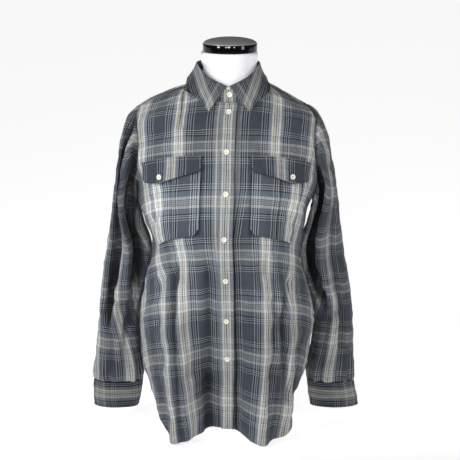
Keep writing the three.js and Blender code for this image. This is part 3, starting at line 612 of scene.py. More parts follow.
def flannel(name="flannel", shade=1.0):
    m = Nodes(name)
    uv = m.t.nodes.new("ShaderNodeUVMap")
    uv.uv_map = "cloth"
    sep = m.t.nodes.new("ShaderNodeSeparateXYZ")
    m.put(sep.inputs[0], uv.outputs[0])
    u, v = sep.outputs[0], sep.outputs[1]
    ed = m.t.nodes.new("ShaderNodeUVMap")
    ed.uv_map = "edge"
    es = m.t.nodes.new("ShaderNodeSeparateXYZ")
    m.put(es.inputs[0], ed.outputs[0])
    # threads are never quite straight
    wob = m.noise(m.combine(u, v), 9.0, 2.0)
    wu = m.math("ADD", u, m.math("MULTIPLY", m.math("SUBTRACT", wob, 0.5), 0.0022))
    wob2 = m.noise(m.combine(v, u, 3.1), 8.0, 2.0)
    wv = m.math("ADD", v, m.math("MULTIPLY", m.math("SUBTRACT", wob2, 0.5), 0.0024))
    fw = m.math("DIVIDE", m.math("PINGPONG", wu, WARP_HALF / 1000), WARP_HALF / 1000)
    ff = m.math("DIVIDE", m.math("PINGPONG", wv, WEFT_HALF / 1000), WEFT_HALF / 1000)
    warp = m.ramp(fw, [(p / WARP_HALF, linear(*YARN[c])) for p, c in WARP])
    weft = m.ramp(ff, [(p / WEFT_HALF, linear(*YARN[c])) for p, c in WEFT])
    # uneven yarns, each long in its own direction
    sw = m.noise(m.combine(m.math("MULTIPLY", u, 620.0), m.math("MULTIPLY", v, 16.0)), 1.0, 2.0, 0.6)
    sf = m.noise(m.combine(m.math("MULTIPLY", u, 16.0), m.math("MULTIPLY", v, 620.0), 5.0), 1.0, 2.0, 0.6)
    # two-up two-down twill: which yarn is on top
    tw = m.math("SINE", m.math("MULTIPLY", m.math("ADD", u, v), 2 * math.pi / 0.0017))
    top = m.math("ADD", 0.45, m.math("MULTIPLY", tw, 0.10))
    top = m.math("ADD", top, m.math("MULTIPLY", m.math("SUBTRACT", sw, 0.5), -0.55))
    top = m.math("ADD", top, m.math("MULTIPLY", m.math("SUBTRACT", sf, 0.5), 0.55))
    base = m.mixc(top, warp, weft)
    # brushed nap: soft mottling
    nap = m.noise(m.combine(u, v, 1.7), 420.0, 3.0, 0.6)
    blot = m.noise(m.combine(u, v, 7.7), 38.0, 3.0, 0.6)
    k = m.math("ADD", 1.0, m.math("ADD", m.math("MULTIPLY", m.math("SUBTRACT", nap, 0.5), 0.5), m.math("MULTIPLY", m.math("SUBTRACT", blot, 0.5), 0.35)))
    base = m.mixc(1.0, base, m.combine(k, k, k), "MULTIPLY")
    # painted shade: cloth that lies in a fold or under an edge is darkened by each piece's 'shade' coordinates
    sv = m.t.nodes.new("ShaderNodeUVMap")
    sv.uv_map = "shade"
    ss = m.t.nodes.new("ShaderNodeSeparateXYZ")
    m.put(ss.inputs[0], sv.outputs[0])
    base = m.mixc(1.0, base, m.combine(ss.outputs[0], ss.outputs[0], ss.outputs[0]), "MULTIPLY")
    # painted shade: a darker copy of the whole cloth when shade is below 1
    if shade != 1.0:
        base = m.mixc(1.0, base, (shade, shade, shade, 1), "MULTIPLY")
    # two rows of stitches near sewn edges: 1.5 mm and 6 mm in
    def stitch(dist, run):
        lines = None
        for at in (0.0017, 0.0062):
            g = m.math("SUBTRACT", 1.0, m.math("DIVIDE", m.math("ABSOLUTE", m.math("SUBTRACT", dist, at)), 0.0005))
            g = m.math("MAXIMUM", g, 0.0)
            lines = g if lines is None else m.math("MAXIMUM", lines, g)
        dash = m.math("GREATER_THAN", m.math("SINE", m.math("MULTIPLY", run, 2 * math.pi / 0.003)), -0.35)
        return m.math("MULTIPLY", lines, dash)

    st = m.math("MAXIMUM", stitch(es.outputs[0], v), stitch(es.outputs[1], u))
    base = m.mixc(m.math("MULTIPLY", st, 0.45), base, linear(52, 56, 66))
    m.put(m.bsdf.inputs["Base Color"], base)
    m.bsdf.inputs["Roughness"].default_value = 0.92
    m.bsdf.inputs["Specular IOR Level"].default_value = 0.18
    m.bsdf.inputs["Sheen Weight"].default_value = 0.10
    m.bsdf.inputs["Sheen Roughness"].default_value = 0.45
    # relief: twill ribs, nap and stitches
    h = m.math("ADD", m.math("MULTIPLY", tw, 0.00005), m.math("MULTIPLY", nap, 0.00028))
    h = m.math("SUBTRACT", h, m.math("MULTIPLY", st, 0.00035))
    bump = m.t.nodes.new("ShaderNodeBump")
    bump.inputs["Strength"].default_value = 0.75
    bump.inputs["Distance"].default_value = 1.0
    m.put(bump.inputs["Height"], h)
    m.put(m.bsdf.inputs["Normal"], bump.outputs[0])
    return m.mat


def simple(name, color, rough, metal=0.0, coat=0.0, coat_rough=0.05, spec=0.5):
    m = Nodes(name)
    b = m.bsdf.inputs
    b["Base Color"].default_value = color
    b["Roughness"].default_value = rough
    b["Metallic"].default_value = metal
    b["Coat Weight"].default_value = coat
    b["Coat Roughness"].default_value = coat_rough
    b["Specular IOR Level"].default_value = spec
    return m.mat


MATERIALS["flannel"] = flannel()
MATERIALS["flannel_cuff"] = flannel("flannel_cuff", 0.55)
MATERIALS["flannel_shaded"] = flannel("flannel_shaded", 0.72)  # collar and cuffs, where the cloth is doubled: darker copies of the flannel as painted shade
MATERIALS["form"] = simple("form", (0.95, 0.95, 0.965, 1), 0.16, coat=0.6, coat_rough=0.04)
# painted light: the form glows faintly (emission 0.09) so that it stays white
MATERIALS["form"].node_tree.nodes["Principled BSDF"].inputs["Emission Color"].default_value = (1, 1, 1, 1)
MATERIALS["form"].node_tree.nodes["Principled BSDF"].inputs["Emission Strength"].default_value = 0.09
MATERIALS["button"] = simple("button", linear(246, 243, 226), 0.22, coat=0.7, coat_rough=0.08)
MATERIALS["button_dark"] = simple("button_dark", linear(150, 138, 96), 0.4)
MATERIALS["thread"] = simple("thread", linear(196, 190, 165), 0.8)
MATERIALS["cap_band"] = simple("cap_band", (0.028, 0.029, 0.032, 1), 0.045, metal=1.0)
MATERIALS["cap_top"] = simple("cap_top", (0.33, 0.33, 0.335, 1), 0.42, metal=0.45)
MATERIALS["floor"] = simple("floor", (0.9, 0.9, 0.905, 1), 0.8, spec=0.2)
# the sweep behind the form is lit from within, so that it is evenly white; the floor in front of it isn't
_t = MATERIALS["floor"].node_tree
_fl = _t.nodes["Principled BSDF"].inputs
_fl["Emission Color"].default_value = (1, 1, 1, 1)
_co = _t.nodes.new("ShaderNodeTexCoord")
_se = _t.nodes.new("ShaderNodeSeparateXYZ")
_mr = _t.nodes.new("ShaderNodeMapRange")
_mr.interpolation_type = "SMOOTHSTEP"
_mr.inputs[1].default_value, _mr.inputs[2].default_value = -0.75, 0.1
_mr.inputs[3].default_value, _mr.inputs[4].default_value = 0.0, 0.8
_t.links.new(_co.outputs["Object"], _se.inputs[0])
_t.links.new(_se.outputs[1], _mr.inputs[0])
_t.links.new(_mr.outputs[0], _fl["Emission Strength"])

# ------------------------------------------------------------------ relief of the body cloth
# Creases on the fronts, in cloth millimetres: from (u0, v0) to (u1, v1), bow, width, height. U 0 is the button line, V 0 the fourth buttonhole.
FRONT_CREASES = [
    (-36, -40, -40, -300, 3, 9, -8.0),
    (-40, -290, -44, -430, 0, 11, -8.0),
    (-104, -50, -112, -240, -4, 8, -12.0),
    (-112, -230, -118, -430, 0, 9, -10.0),
    (142, -73, 118, -165, 0, 7, -12.0),
    (118, -160, 127, -250, 0, 7, -12.0),
    (127, -245, 142, -345, 0, 8, -10.0),
    (100, -60, 98, -240, 3, 8, -6.0),
    (98, -240, 104, -400, 0, 9, -5.0),
    (24, -60, 26, -400, 2, 6, -3.0),
    (-128, 82, -172, 40, 3, 9, -3.0),
    (-150, 60, -178, 8, -4, 8, -2.6),
    (-96, -14, -150, -34, 4, 9, -2.4),
    (-60, -8, -84, -110, 6, 10, 2.4),
    (-112, -20, -128, -160, 8, 9, 3.0),
    (-140, -60, -150, -200, -6, 10, -3.2),
    (-26, -20, -40, -95, 4, 8, -1.8),
    (-36, 196, -96, 236, 5, 10, -2.0),
    (-64, 184, -140, 214, -5, 10, -1.8),
    (122, 74, 160, 34, -3, 9, -3.0),
    (96, -14, 142, -40, -4, 9, -2.4),
    (58, -16, 66, -120, -6, 10, 2.2),
    (104, -24, 112, -150, -6, 9, 3.0),
    (130, -60, 138, -190, 6, 10, -3.2),
    (30, -30, 44, -120, -4, 8, -1.6),
    (40, 190, 100, 232, -5, 10, -2.0),
    (66, 176, 128, 206, 5, 9, -1.6),
]
BACK_CREASES = [
    (-120, 100, -60, 150, 8, 12, -2.6),
    (120, 100, 60, 150, -8, 12, -2.6),
    (-150, 40, -90, 20, 6, 11, -3.0),
    (150, 40, 90, 20, -6, 11, -3.0),
    (-60, -20, -70, -160, 6, 12, 2.6),
    (70, -30, 60, -180, -6, 12, 2.6),
    (0, 30, 6, -120, 5, 13, -2.2),
    (-20, 140, 30, 60, 6, 14, -2.0),
]
ROUGH_BIG = Rough(11, 60, 150, 12)
ROUGH_SMALL = Rough(12, 22, 50, 22)
ROUGH_FINE = Rough(13, 9, 18, 26)


def relief(u, v, back=False, still=0.0):
    """How far the cloth stands out or in. still calms it near sewn bands."""
    r = 1.3 * ROUGH_BIG(u + (900 if back else 0), v) + 0.55 * ROUGH_SMALL(u + (700 if back else 0), v) + 0.16 * ROUGH_FINE(u, v + (500 if back else 0))
    r = r + creases(u, v, BACK_CREASES if back else FRONT_CREASES)
    return r * (1 - still)


def limit(r):
    return np.where(r > 0, 6.0 * np.tanh(r / 6.0), 15.0 * np.tanh(r / 15.0))


def body_points(angle, z, out=0.0, back=False, calm=0.0):
    """Place of the body cloth with its fine folds, and its cloth coordinates."""
    u, v = cloth_uv(angle, z, back)
    n = torso_normal(angle, z)
    r = limit(relief(u, v, back))
    # calm where pieces are sewn together: the button band, side seams and armholes keep their line
    P = torso(angle, z)
    floor_ = mix(-15.0, -3.2, ease((v + 35) / 60))  # the form is near only above the waist
    r = np.maximum(r, floor_) * (1 - calm)
    body_points.stands = r
    return P + n * (r[..., None] + np.asarray(out)[..., None] if np.ndim(out) else r[..., None] + out), np.stack([u, v], -1)


def low_z(angle, v):
    return mix(hem_z(angle), CHEST_LINE - drop(angle), v)


# ------------------------------------------------------------------ fronts
FRONT_PHASE = (0.0, 32.5)
# how far the fronts' warp stands off the button band's, by thread height
WARP_SHIFT = {-1: ([-400, -80, 0, 100, 400], [2.0, 4.0, 10.0, 12.0, 12.0]), 1: ([-400, -80, 0, 100, 400], [-2.0, -2.0, -1.0, -12.0, -12.0])}


def front(side, start_x, name):
    nU, nL, nH = 72, 120, 96
    us = np.linspace(0, 1, nU)
    start = lambda z: along(TORSO, "centre", z) + start_x
    vl = np.linspace(0, 1, nL) ** 0.92
    # lower block
    A = np.zeros((nU, nL + nH))
    Z = np.zeros_like(A)
    for j, v in enumerate(vl):
        z0 = low_z(0.0, v)
        a0 = angle_at(start(z0), z0)
        a = mix(a0, side * 90.0, us)
        A[:, j], Z[:, j] = a, low_z(a, v)
    # upper block
    end_a, end_z = armhole(side, HIGH_TURN)
    neck_a = side * NECK["seam"]
    neck_zz = neck_z(neck_a)
    share = 0.42
    a0n = angle_at(start(NECK["front"]), NECK["front"])
    t1 = np.clip(us / share, 0, 1)
    t2 = np.clip((us - share) / (1 - share), 0, 1)
    top_a = np.where(us <= share, mix(a0n, neck_a, t1), mix(neck_a, end_a, t2))
    top_z = np.where(us <= share, neck_z(mix(a0n, neck_a, t1)), mix(neck_zz, end_z, t2))
    X = lambda a, z: torso(a, z)[..., 0]
    a0c = angle_at(start(CHEST_LINE), CHEST_LINE)
    ch_a = mix(a0c, side * 90.0, us)
    ch_z = CHEST_LINE - drop(ch_a)
    b = np.stack([X(ch_a, ch_z), ch_z])
    t = np.stack([X(top_a, top_z), top_z])
    for j in range(1, nH + 1):
        v = j / nH
        zl = mix(CHEST_LINE, NECK["front"], v)
        left = np.array([start(zl), zl])
        ra, rz = armhole(side, v * HIGH_TURN)
        right = np.array([X(ra, rz), rz])
        q = (
            (1 - us) * left[:, None]
            + us * right[:, None]
            + (1 - v) * b
            + v * t
            - (
                (1 - us) * (1 - v) * b[:, :1]
                + us * (1 - v) * b[:, -1:]
                + (1 - us) * v * t[:, :1]
                + us * v * t[:, -1:]
            )
        )
        a = angle_at(q[0], q[1])
        a[-1], zz = ra, q[1].copy()
        zz[-1] = rz
        if j == nH:
            a, zz = top_a, top_z
        A[:, nL + j - 1], Z[:, nL + j - 1] = a, zz
    # calm towards the armhole, neck and yoke seams
    rowpos = np.concatenate([np.zeros(nL), np.linspace(0, 1, nH)])
    calm = np.maximum(ease((rowpos - 0.9) / 0.1)[None], ease((us - 0.95) / 0.05)[:, None])
    calm = np.maximum(calm, 0.55 * ease(1 - us / 0.05)[:, None])
    P, UV = body_points(A, Z, 0.0, calm=calm * 0.8)
    r_ = body_points.stands
    f_ = fold(A, Z)
    # painted shade in creases and fold valleys, painted highlight on ridges
    sh = 1 - 0.5 * ease(-r_ / 11) - 0.34 * ease(-f_ / 46) + 0.10 * ease(r_ / 6) + 0.06 * ease(f_ / 30)
    # painted shadow along the pocket's sides and bottom (below)
    T_ = Z + drop(A)
    a_ = np.abs(cloth_uv(A, Z)[0])
    low_ = mix(POCKET["bottomInner"], POCKET["bottomOuter"], np.clip((a_ - 50) / 108, 0, 1))
    dx = np.maximum(np.maximum(POCKET["inner"] - a_, a_ - POCKET["outer"]), 0)
    dy = np.maximum(low_ - T_, 0)
    sh = sh * (1 - 0.5 * np.exp(-(((np.hypot(dx, dy) - 0.6) / 2.4) ** 2)) * (T_ < 592) * (T_ > 420))
    # painted shadow beside the button band's edge: strong on the left front, weak on the right (below)
    px_ = torso(A, Z)[..., 0] - along(TORSO, "centre", Z)
    edge_at = BAND["right"] if side > 0 else -BAND["left"]
    sh = sh * (1 - (0.97 if side > 0 else 0.35) * np.exp(-(((side * (px_ - edge_at) - 0.9) / (2.9 if side > 0 else 2.2)) ** 2)))
    # painted shade along the armhole seam in the upper rows
    sh[:, nL:] *= 1 - 0.45 * np.exp(-((((1 - us) * 170) / 3.0) ** 2))[:, None]
    # painted light across the chest above the waist, painted shade near the neck (below)
    wide_ = ease((a_ - 20) / 25)
    sh = sh * (1 + (0.27 * ease((T_ - 240) / 90) - 0.12 * ease((T_ - 560) / 50)) * wide_ - 0.14 * ease((T_ - 560) / 60) * (1 - ease((a_ - 70) / 30)))
    sunk = np.linspace(0, 1, nH)[-3:][None] * ease((us - share) / 0.04)[:, None]
    P[:, -3:] -= torso_normal(A[:, -3:], Z[:, -3:]) * (sunk * np.array([0.3, 0.8, 1.2]))[..., None]
    # painted shade on the top two rows, at the seams under the collar and yoke
    sh[:, -2:] *= 0.6
    turned = 1 - ease((us - share + 0.02) / 0.04)
    turned = turned * ease(us / 0.16)
    for row, up in ((-1, 7.0), (-2, 3.6), (-3, 1.2)):
        P[:, row, 2] += up * turned
        P[:, row, 0] -= side * up * 0.1 * turned
    if side < 0:
        sh = sh[::-1]
    UV[..., 0] += np.interp(UV[..., 1], *WARP_SHIFT[side])
    # cloth taken up inside the deep fold near each side, from the waist down
    taken = ease((-10 - UV[..., 1]) / 90) * (34 if side < 0 else 20)
    UV[..., 0] += side * taken * ease((np.abs(UV[..., 0]) - (96 if side < 0 else 104)) / 30)
    if side < 0:
        P, UV = P[::-1], UV[::-1]
    return shell(name, P, UV, node=name.replace("_cloth", ""), edge_u=False, edge_v=(True, False), phase=FRONT_PHASE, shade=sh)


front(-1, -3.5, "front_right_cloth")
front(1, 1.5, "front_left_cloth")


# ------------------------------------------------------------------ back and yoke
def yoke_seam(u):
    la, lz = armhole(-1, YOKE_TURN)
    ra, rz = armhole(1, YOKE_TURN)
    la, ra = (la - 360 if la > 0 else la), (ra - 360 if ra > 0 else ra)
    a = mix(la, ra, u)
    z = mix(lz, rz, u) + (YOKE_MIDDLE - lz) * np.sin(np.pi * u)
    return a, z


def back():
    nU, nL, nH = 112, 112, 48
    us = np.linspace(0, 1, nU)
    A, Z = np.zeros((nU, nL + nH)), np.zeros((nU, nL + nH))
    ang = mix(-90.0, -270.0, us)
    for j, v in enumerate(np.linspace(0, 1, nL) ** 0.92):
        A[:, j], Z[:, j] = ang, low_z(ang, v)
    turns = 360 - YOKE_TURN
    # rows climb the armhole evenly in height, so that none of them dips under the row below
    steps = np.linspace(0, turns, 241)
    climb = np.array([float(armhole(-1, 360 - k)[1]) for k in steps])
    climb = (climb - climb[0]) / (climb[-1] - climb[0])
    for j in range(1, nH + 1):
        v = j / nH
        at = float(np.interp(v, climb, steps))
        la, lz = armhole(-1, 360 - at)
        ra, rz = armhole(1, 360 - at)
        la, ra = (la - 360 if la > 0 else la), (ra - 360 if ra > 0 else ra)
        l, r = np.array([la, lz]), np.array([ra, rz])
        b = np.stack([ang, CHEST_LINE - drop(ang)])
        ta, tz = yoke_seam(us)
        t = np.stack([ta, tz])
        q = (1 - us) * l[:, None] + us * r[:, None] + (1 - v) * b + v * t - ((1 - us) * (1 - v) * b[:, :1] + us * (1 - v) * b[:, -1:] + (1 - us) * v * t[:, :1] + us * v * t[:, -1:])
        A[:, nL + j - 1], Z[:, nL + j - 1] = q
    rowpos = np.concatenate([np.zeros(nL), np.linspace(0, 1, nH)])
    calm = np.maximum(ease((rowpos - 0.8) / 0.2)[None], ease((np.abs(us - 0.5) - 0.47) / 0.03)[:, None])
    P, UV = body_points(A, Z, 0.0, back=True, calm=calm * 0.85)
    # painted shade in creases and fold valleys, painted highlight on ridges; painted shade on the top rows under the
    # yoke
    sh = 1 - 0.35 * ease(-body_points.stands / 10) - 0.18 * ease(-fold(A, Z) / 16) + 0.06 * ease(body_points.stands / 6)
    sh[:, -3:] *= 0.7
    return shell("back_cloth", P[::-1], UV[::-1], "back", edge_u=False, edge_v=(True, False), phase=(14.0, 32.5), shade=sh[::-1])


back()


def yoke():
    nU, nV = 150, 26
    lower_a, lower_z = [], []
    for k in np.linspace(HIGH_TURN, YOKE_TURN, 22)[:-1]:
        a, z = armhole(-1, k)
        lower_a.append(a if k == HIGH_TURN else (a - 360 if a > 0 else a))
        lower_z.append(z)
    for u in np.linspace(0, 1, nU - 42):
        a, z = yoke_seam(u)
        lower_a.append(a)
        lower_z.append(z)
    for k in np.linspace(YOKE_TURN, HIGH_TURN, 22)[1:]:
        a, z = armhole(1, k)
        lower_a.append(a - 360 if a > 0 else a)
        lower_z.append(z)
    la, lz = np.array(lower_a, float), np.array(lower_z, float)
    n = len(la)
    ta = mix(-float(NECK["seam"]), -360.0 + NECK["seam"], np.linspace(0, 1, n))
    tz = neck_z(ta)
    v = np.linspace(0, 1, nV)
    A = mix(la[:, None], ta[:, None], v[None])
    Z = mix(lz[:, None], tz[:, None], v[None])
    P = torso(A, Z)
    N = torso_normal(A, Z)
    # cloth coordinates: along the shoulders, and down the back
    lu = np.concatenate([[0], np.cumsum(np.linalg.norm(np.diff(P[:, nV // 2], axis=0), axis=-1))])
    u = np.repeat((lu - lu[-1] / 2)[:, None], nV, 1)
    vv = np.concatenate([np.zeros((n, 1)), np.cumsum(np.linalg.norm(np.diff(P, axis=1), axis=-1), axis=1)], axis=1)
    r = 0.5 * ROUGH_BIG(u, vv + 300) + 0.3 * ROUGH_SMALL(u, vv + 300)
    P = P + N * (r[..., None] * 0.8 + 0.35)
    # the threads lie straight: the warp down the back, the weft from shoulder to shoulder
    for row, up in ((-1, 7.0), (-2, 3.0), (-3, 1.0)):
        P[:, row, 2] += up * 0.9
        P[:, row, 0] -= np.sign(P[:, row, 0] + 3.5) * up * 0.1
    u = (P[..., 0] + 3.5) * 1.10
    slope = np.maximum(np.abs(P[..., 0] + 3.5) - 60, 0) * 0.43
    over = np.arctan2(P[..., 2] + slope - 600, P[..., 1] + 5)
    over = np.arctan2(P[..., 2] + slope * ease(over / 1.57) - 600, P[..., 1] + 5)
    vv = 104 * over
    UV = np.stack([u, vv], -1)
    return shell("yoke_cloth", P[::-1], UV[::-1], "yoke", edge_u=False, edge_v=(True, False), phase=(20.0, 31.0))


yoke()

# ------------------------------------------------------------------ sleeves and cuffs
# Wrinkles across the sleeves, in turn degrees and height: from, to, bow, width (mm), height (mm)
SLEEVE_CREASES = {
    -1: [
        (150, 330, 60, 372, 12, 10, -4.5),
        (160, 300, 50, 318, -10, 9, -4.0),
        (200, 380, 120, 398, 10, 9, -3.0),
        (120, 280, 40, 262, 8, 9, -3.2),
        (60, 455, 10, 478, 6, 9, -4.0),
        (80, 520, 20, 500, 8, 10, -3.4),
        (210, 250, 140, 232, 8, 9, -2.4),
        (175, 590, 120, 560, 8, 12, -3.0),
    ],
    1: [
        (140, 318, 60, 340, 12, 10, -4.2),
        (150, 286, 70, 292, -10, 9, -3.6),
        (190, 360, 120, 372, 10, 9, -3.0),
        (110, 250, 40, 238, 8, 9, -3.0),
        (60, 455, 10, 478, 6, 9, -4.0),
        (80, 520, 20, 500, 8, 10, -3.2),
        (200, 230, 130, 214, 8, 9, -2.4),
        (170, 580, 120, 556, 8, 12, -3.0),
    ],
}
# the long folds that hang down each sleeve from its seam: turn and height at both ends, bow, width, depth
SLEEVE_TROUGHS = {
    -1: [(138, 690, 117, 430, 0, 8.5, -15.0), (117, 440, 124, 215, 0, 9, -14.0), (74, 680, 67, 420, 0, 11, -24.0), (67, 440, 56, 300, 0, 10, -20.0), (92, 600, 86, 300, 2, 8, 3.0), (62, 240, 70, 120, 3, 7, -4.5), (105, 200, 112, 110, -3, 6, -3.5)],
    1: [(82, 700, 54, 450, 0, 10.0, -22.0), (54, 470, 60, 270, 0, 10, -22.0), (112, 520, 112, 130, 2, 7, -5.0), (84, 640, 80, 300, 0, 7, 3.0), (70, 240, 66, 120, -3, 7, -4.5)],
}
# the bottoms of the folds that the front light doesn't reach: (height, x) down the line, half width (mm), depth
SLEEVE_SHADOWS = {
    -1: [
        ([(659, -201.2), (633, -204.4), (575, -216.9), (485, -227.3), (407, -236.2), (257, -251.9)], 4.6, 0.82),
        ([(635, -189.9), (591, -188.6), (530, -193.5), (458, -193.7), (407, -191.5), (361, -188.1), (312, -190.9)], 8.5, 0.8),
    ],
    1: [],
}
SLEEVE_PHASE = {-1: (12.0, 20.0), 1: (-10.0, 8.0)}
ROUGH_S = {-1: (Rough(21, 40, 110, 12), Rough(22, 16, 36, 20)), 1: (Rough(31, 40, 110, 12), Rough(32, 16, 36, 20))}


def sleeve(side, name):
    n, m = 112, 190
    turn = np.linspace(0, 360, n, endpoint=False)[:, None]
    v = (np.linspace(0, 1, m) ** 1.0)[None]
    aa, az = armhole(side, turn)
    start = torso(aa, az)
    nrm = torso_normal(aa, az)
    z = mix(start[..., 2], CUFF_TOP + 0.8, v)
    tab = SLEEVE[side]
    inner, outer = along(tab, "inner", z), along(tab, "outer", z)
    t = np.radians(turn)
    s, k = np.sin(t), np.cos(t)
    x = mix(inner, outer, (1 - k) / 2)
    y = along(tab, "y", z) - s * np.where(s > 0, along(tab, "front", z), along(tab, "back", z))
    for f_angle, deep, wide, high, low in SLEEVE_FOLDS[side]:
        d = np.abs((turn - f_angle + 540) % 360 - 180) / wide
        run = ease((high - z) / 70) * ease((z - low) / 90)
        g = np.where(d < 1, deep * 1.45 * run * np.cos(np.clip(d, 0, 1) * np.pi / 2) ** 2, 0)
        x = x - (g * (x - (inner + outer) / 2)) / np.abs((outer - inner) / 2) * 0.5
        y = y + g * s
    w = 1 - np.power(1 - np.clip(v / 0.22, 0, 1), mix(1.5, 3.2, ease(0.4 - k)))
    P = mix(start, np.stack([x, y, z * np.ones_like(x)], -1), w[..., None])
    # the seam sits just under the body cloth's edge
    P[:, 0] -= nrm[:, 0] * 1.0
    N = grid_normals(P, True)
    if side < 0:
        pass
    mid = P.mean(axis=0, keepdims=True)
    sign = np.sign(((P - mid) * N).sum(-1).mean())
    N = N * sign
    # wrinkles
    arc = np.radians(turn) * 46.0
    r = 0.9 * ROUGH_S[side][0](arc, z) + 0.45 * ROUGH_S[side][1](arc, z)
    cr = 0
    for t0, z0, t1, z1, bow, wide, high in SLEEVE_CREASES[side]:
        cr = cr + creases(arc * np.ones_like(z), z * np.ones_like(arc), [(math.radians(t0) * 46, z0, math.radians(t1) * 46, z1, bow, wide, high)])
    # gathers into the cuff
    g = np.sin(np.radians(turn) * 9 + 0.6 * side) * 2.0 + np.sin(np.radians(turn) * 14 + 2) * 1.0
    g = g * ease((165 - z) / 60) * 1.7
    seamcalm = ease(v / 0.05) * ease((1 - v) / 0.012 + 0.15)
    body_side = ease((np.cos(t) - 0.25) / 0.5) * ease((z - 230) / 60)  # next to the body the cloth can't stand out
    cr = cr * (1 - 0.8 * ease((-k - 0.5) / 0.35))
    r = r * (1 - 0.4 * ease((-k - 0.6) / 0.3))
    deep = creases(arc * np.ones_like(z), z * np.ones_like(arc), [(math.radians(t0) * 46, z0, math.radians(t1) * 46, z1, bow, wide, high) for t0, z0, t1, z1, bow, wide, high in SLEEVE_TROUGHS[side]])
    tot = limit(r + cr + g) * seamcalm
    tot = np.where(tot > 0, tot * (1 - body_side), tot)
    rise = ease(v / 0.06)
    # painted shade in the troughs and wrinkles, on the side facing the body and along the armhole seam; painted
    # highlight on ridges
    sh = 1 - 0.86 * ease(-deep * rise / 14) ** 0.8 - 0.25 * ease(-(r + cr) / 7) + 0.10 * ease((r + cr + deep) / 6)
    sh = sh * (1 - 0.42 * ease((k - 0.45) / 0.4) * ease((z - 120) / 60)) * (1 - 0.6 * np.exp(-(((v - 0.003) / 0.010) ** 2)))
    tot = tot + deep * rise - 3.4 * np.exp(-(((v - 0.008) / 0.012) ** 2))
    P = P + N * tot[..., None]
    for line, wide, dark in SLEEVE_SHADOWS[side]:
        lz_, lx_ = zip(*sorted(line))
        at = np.interp(P[..., 2], lz_, lx_)
        inside = ease((P[..., 2] - lz_[0]) / 40) * ease((lz_[-1] - P[..., 2]) / 40) * ease((s + 0.1) / 0.3)
        sh = sh * (1 - dark * inside * np.exp(-(((P[..., 0] - at) / wide) ** 2)))
    # cloth coordinates
    lu = np.linalg.norm(np.roll(P, -1, 0) - P, axis=-1)
    cum = np.concatenate([np.zeros((1, m)), np.cumsum(lu, axis=0)])
    i180 = n // 2
    u = cum - cum[i180][None]
    lv = np.concatenate([np.zeros((n, 1)), np.cumsum(np.linalg.norm(np.diff(P, axis=1), axis=-1), axis=1)], axis=1)
    base = along(tab, "outer", z[0:1]) * 0
    vv = (lv[i180] - lv[i180][-1])[None] * np.ones((n + 1, 1))
    # threads across the sleeve sag towards the outside and follow the height at the top
    zz = np.concatenate([z * np.ones((n, 1)), (z * np.ones((n, 1)))[:1]])
    vv = vv * 0 + (zz - CUFF_TOP) * 1.02
    # the warp runs straight down the sleeve, past the small wrinkles
    w_ = np.exp(-0.5 * (np.arange(-36, 37) / 14.0) ** 2)
    w_ /= w_.sum()
    pad = np.concatenate([np.repeat(u[:, :1], 36, 1), u, np.repeat(u[:, -1:], 36, 1)], axis=1)
    u = np.stack([np.convolve(row, w_, "valid") for row in pad])
    UV = np.stack([u, vv], -1)
    if sign < 0:
        P, UV = P[::-1], UV[::-1]
        P, sh = np.roll(P, 1, 0), np.roll(sh[::-1], 1, 0)
    return shell(name + "_cloth", P, UV, name, closed=True, edge_v=(False, False), phase=SLEEVE_PHASE[side], shade=sh)


sleeve(-1, "sleeve_right")
sleeve(1, "sleeve_left")


def cuff(side, name):
    n, m = 96, 24
    turn = np.linspace(0, 360, n, endpoint=False)[:, None]
    z = np.linspace(CUFF_TOP + 3, CUFF_BOTTOM, m)[None]
    tab = SLEEVE[side]
    inner, outer = along(tab, "inner", z), along(tab, "outer", z)
    s, k = np.sin(np.radians(turn)), np.cos(np.radians(turn))
    x = mix(inner, outer, (1 - k) / 2) * np.ones_like(s)
    y = along(tab, "y", z) - s * np.where(s > 0, along(tab, "front", z), along(tab, "back", z))
    P = np.stack([x, y, z * np.ones_like(x)], -1)
    N = grid_normals(P, True)
    sign = np.sign(((P - P.mean(axis=0, keepdims=True)) * N).sum(-1).mean())
    N = N * sign
    R = Rough(41 + side, 24, 60, 12)
    r = 0.7 * R(np.radians(turn) * 34, z) + 1.3
    P = P + N * r[..., None]
    cum = np.concatenate([np.zeros((1, m)), np.cumsum(np.linalg.norm(np.roll(P, -1, 0) - P, axis=-1), axis=0)])
    u = cum - cum[n // 2][None]
    vv = (np.concatenate([z * np.ones((n + 1, 1))]) - 71.0) * 1.0
    UV = np.stack([vv, u], -1)  # the cuff is cut across the cloth
    # painted shadow along the cuff's top, under the sleeve's edge
    sh = (1 - 0.5 * np.exp(-(((z - 98) / 3.0) ** 2))) * np.ones_like(s)
    if sign < 0:
        P, UV = np.roll(P[::-1], 1, 0), UV[::-1]
    return shell(name + "_cloth", P, UV, name, thick=1.9, material="flannel_cuff", closed=True, edge_v=(True, True), phase=(0.0, 25.0), shade=sh)


cuff(-1, "cuff_right")
cuff(1, "cuff_left")

# ------------------------------------------------------------------ button band, pockets, flaps


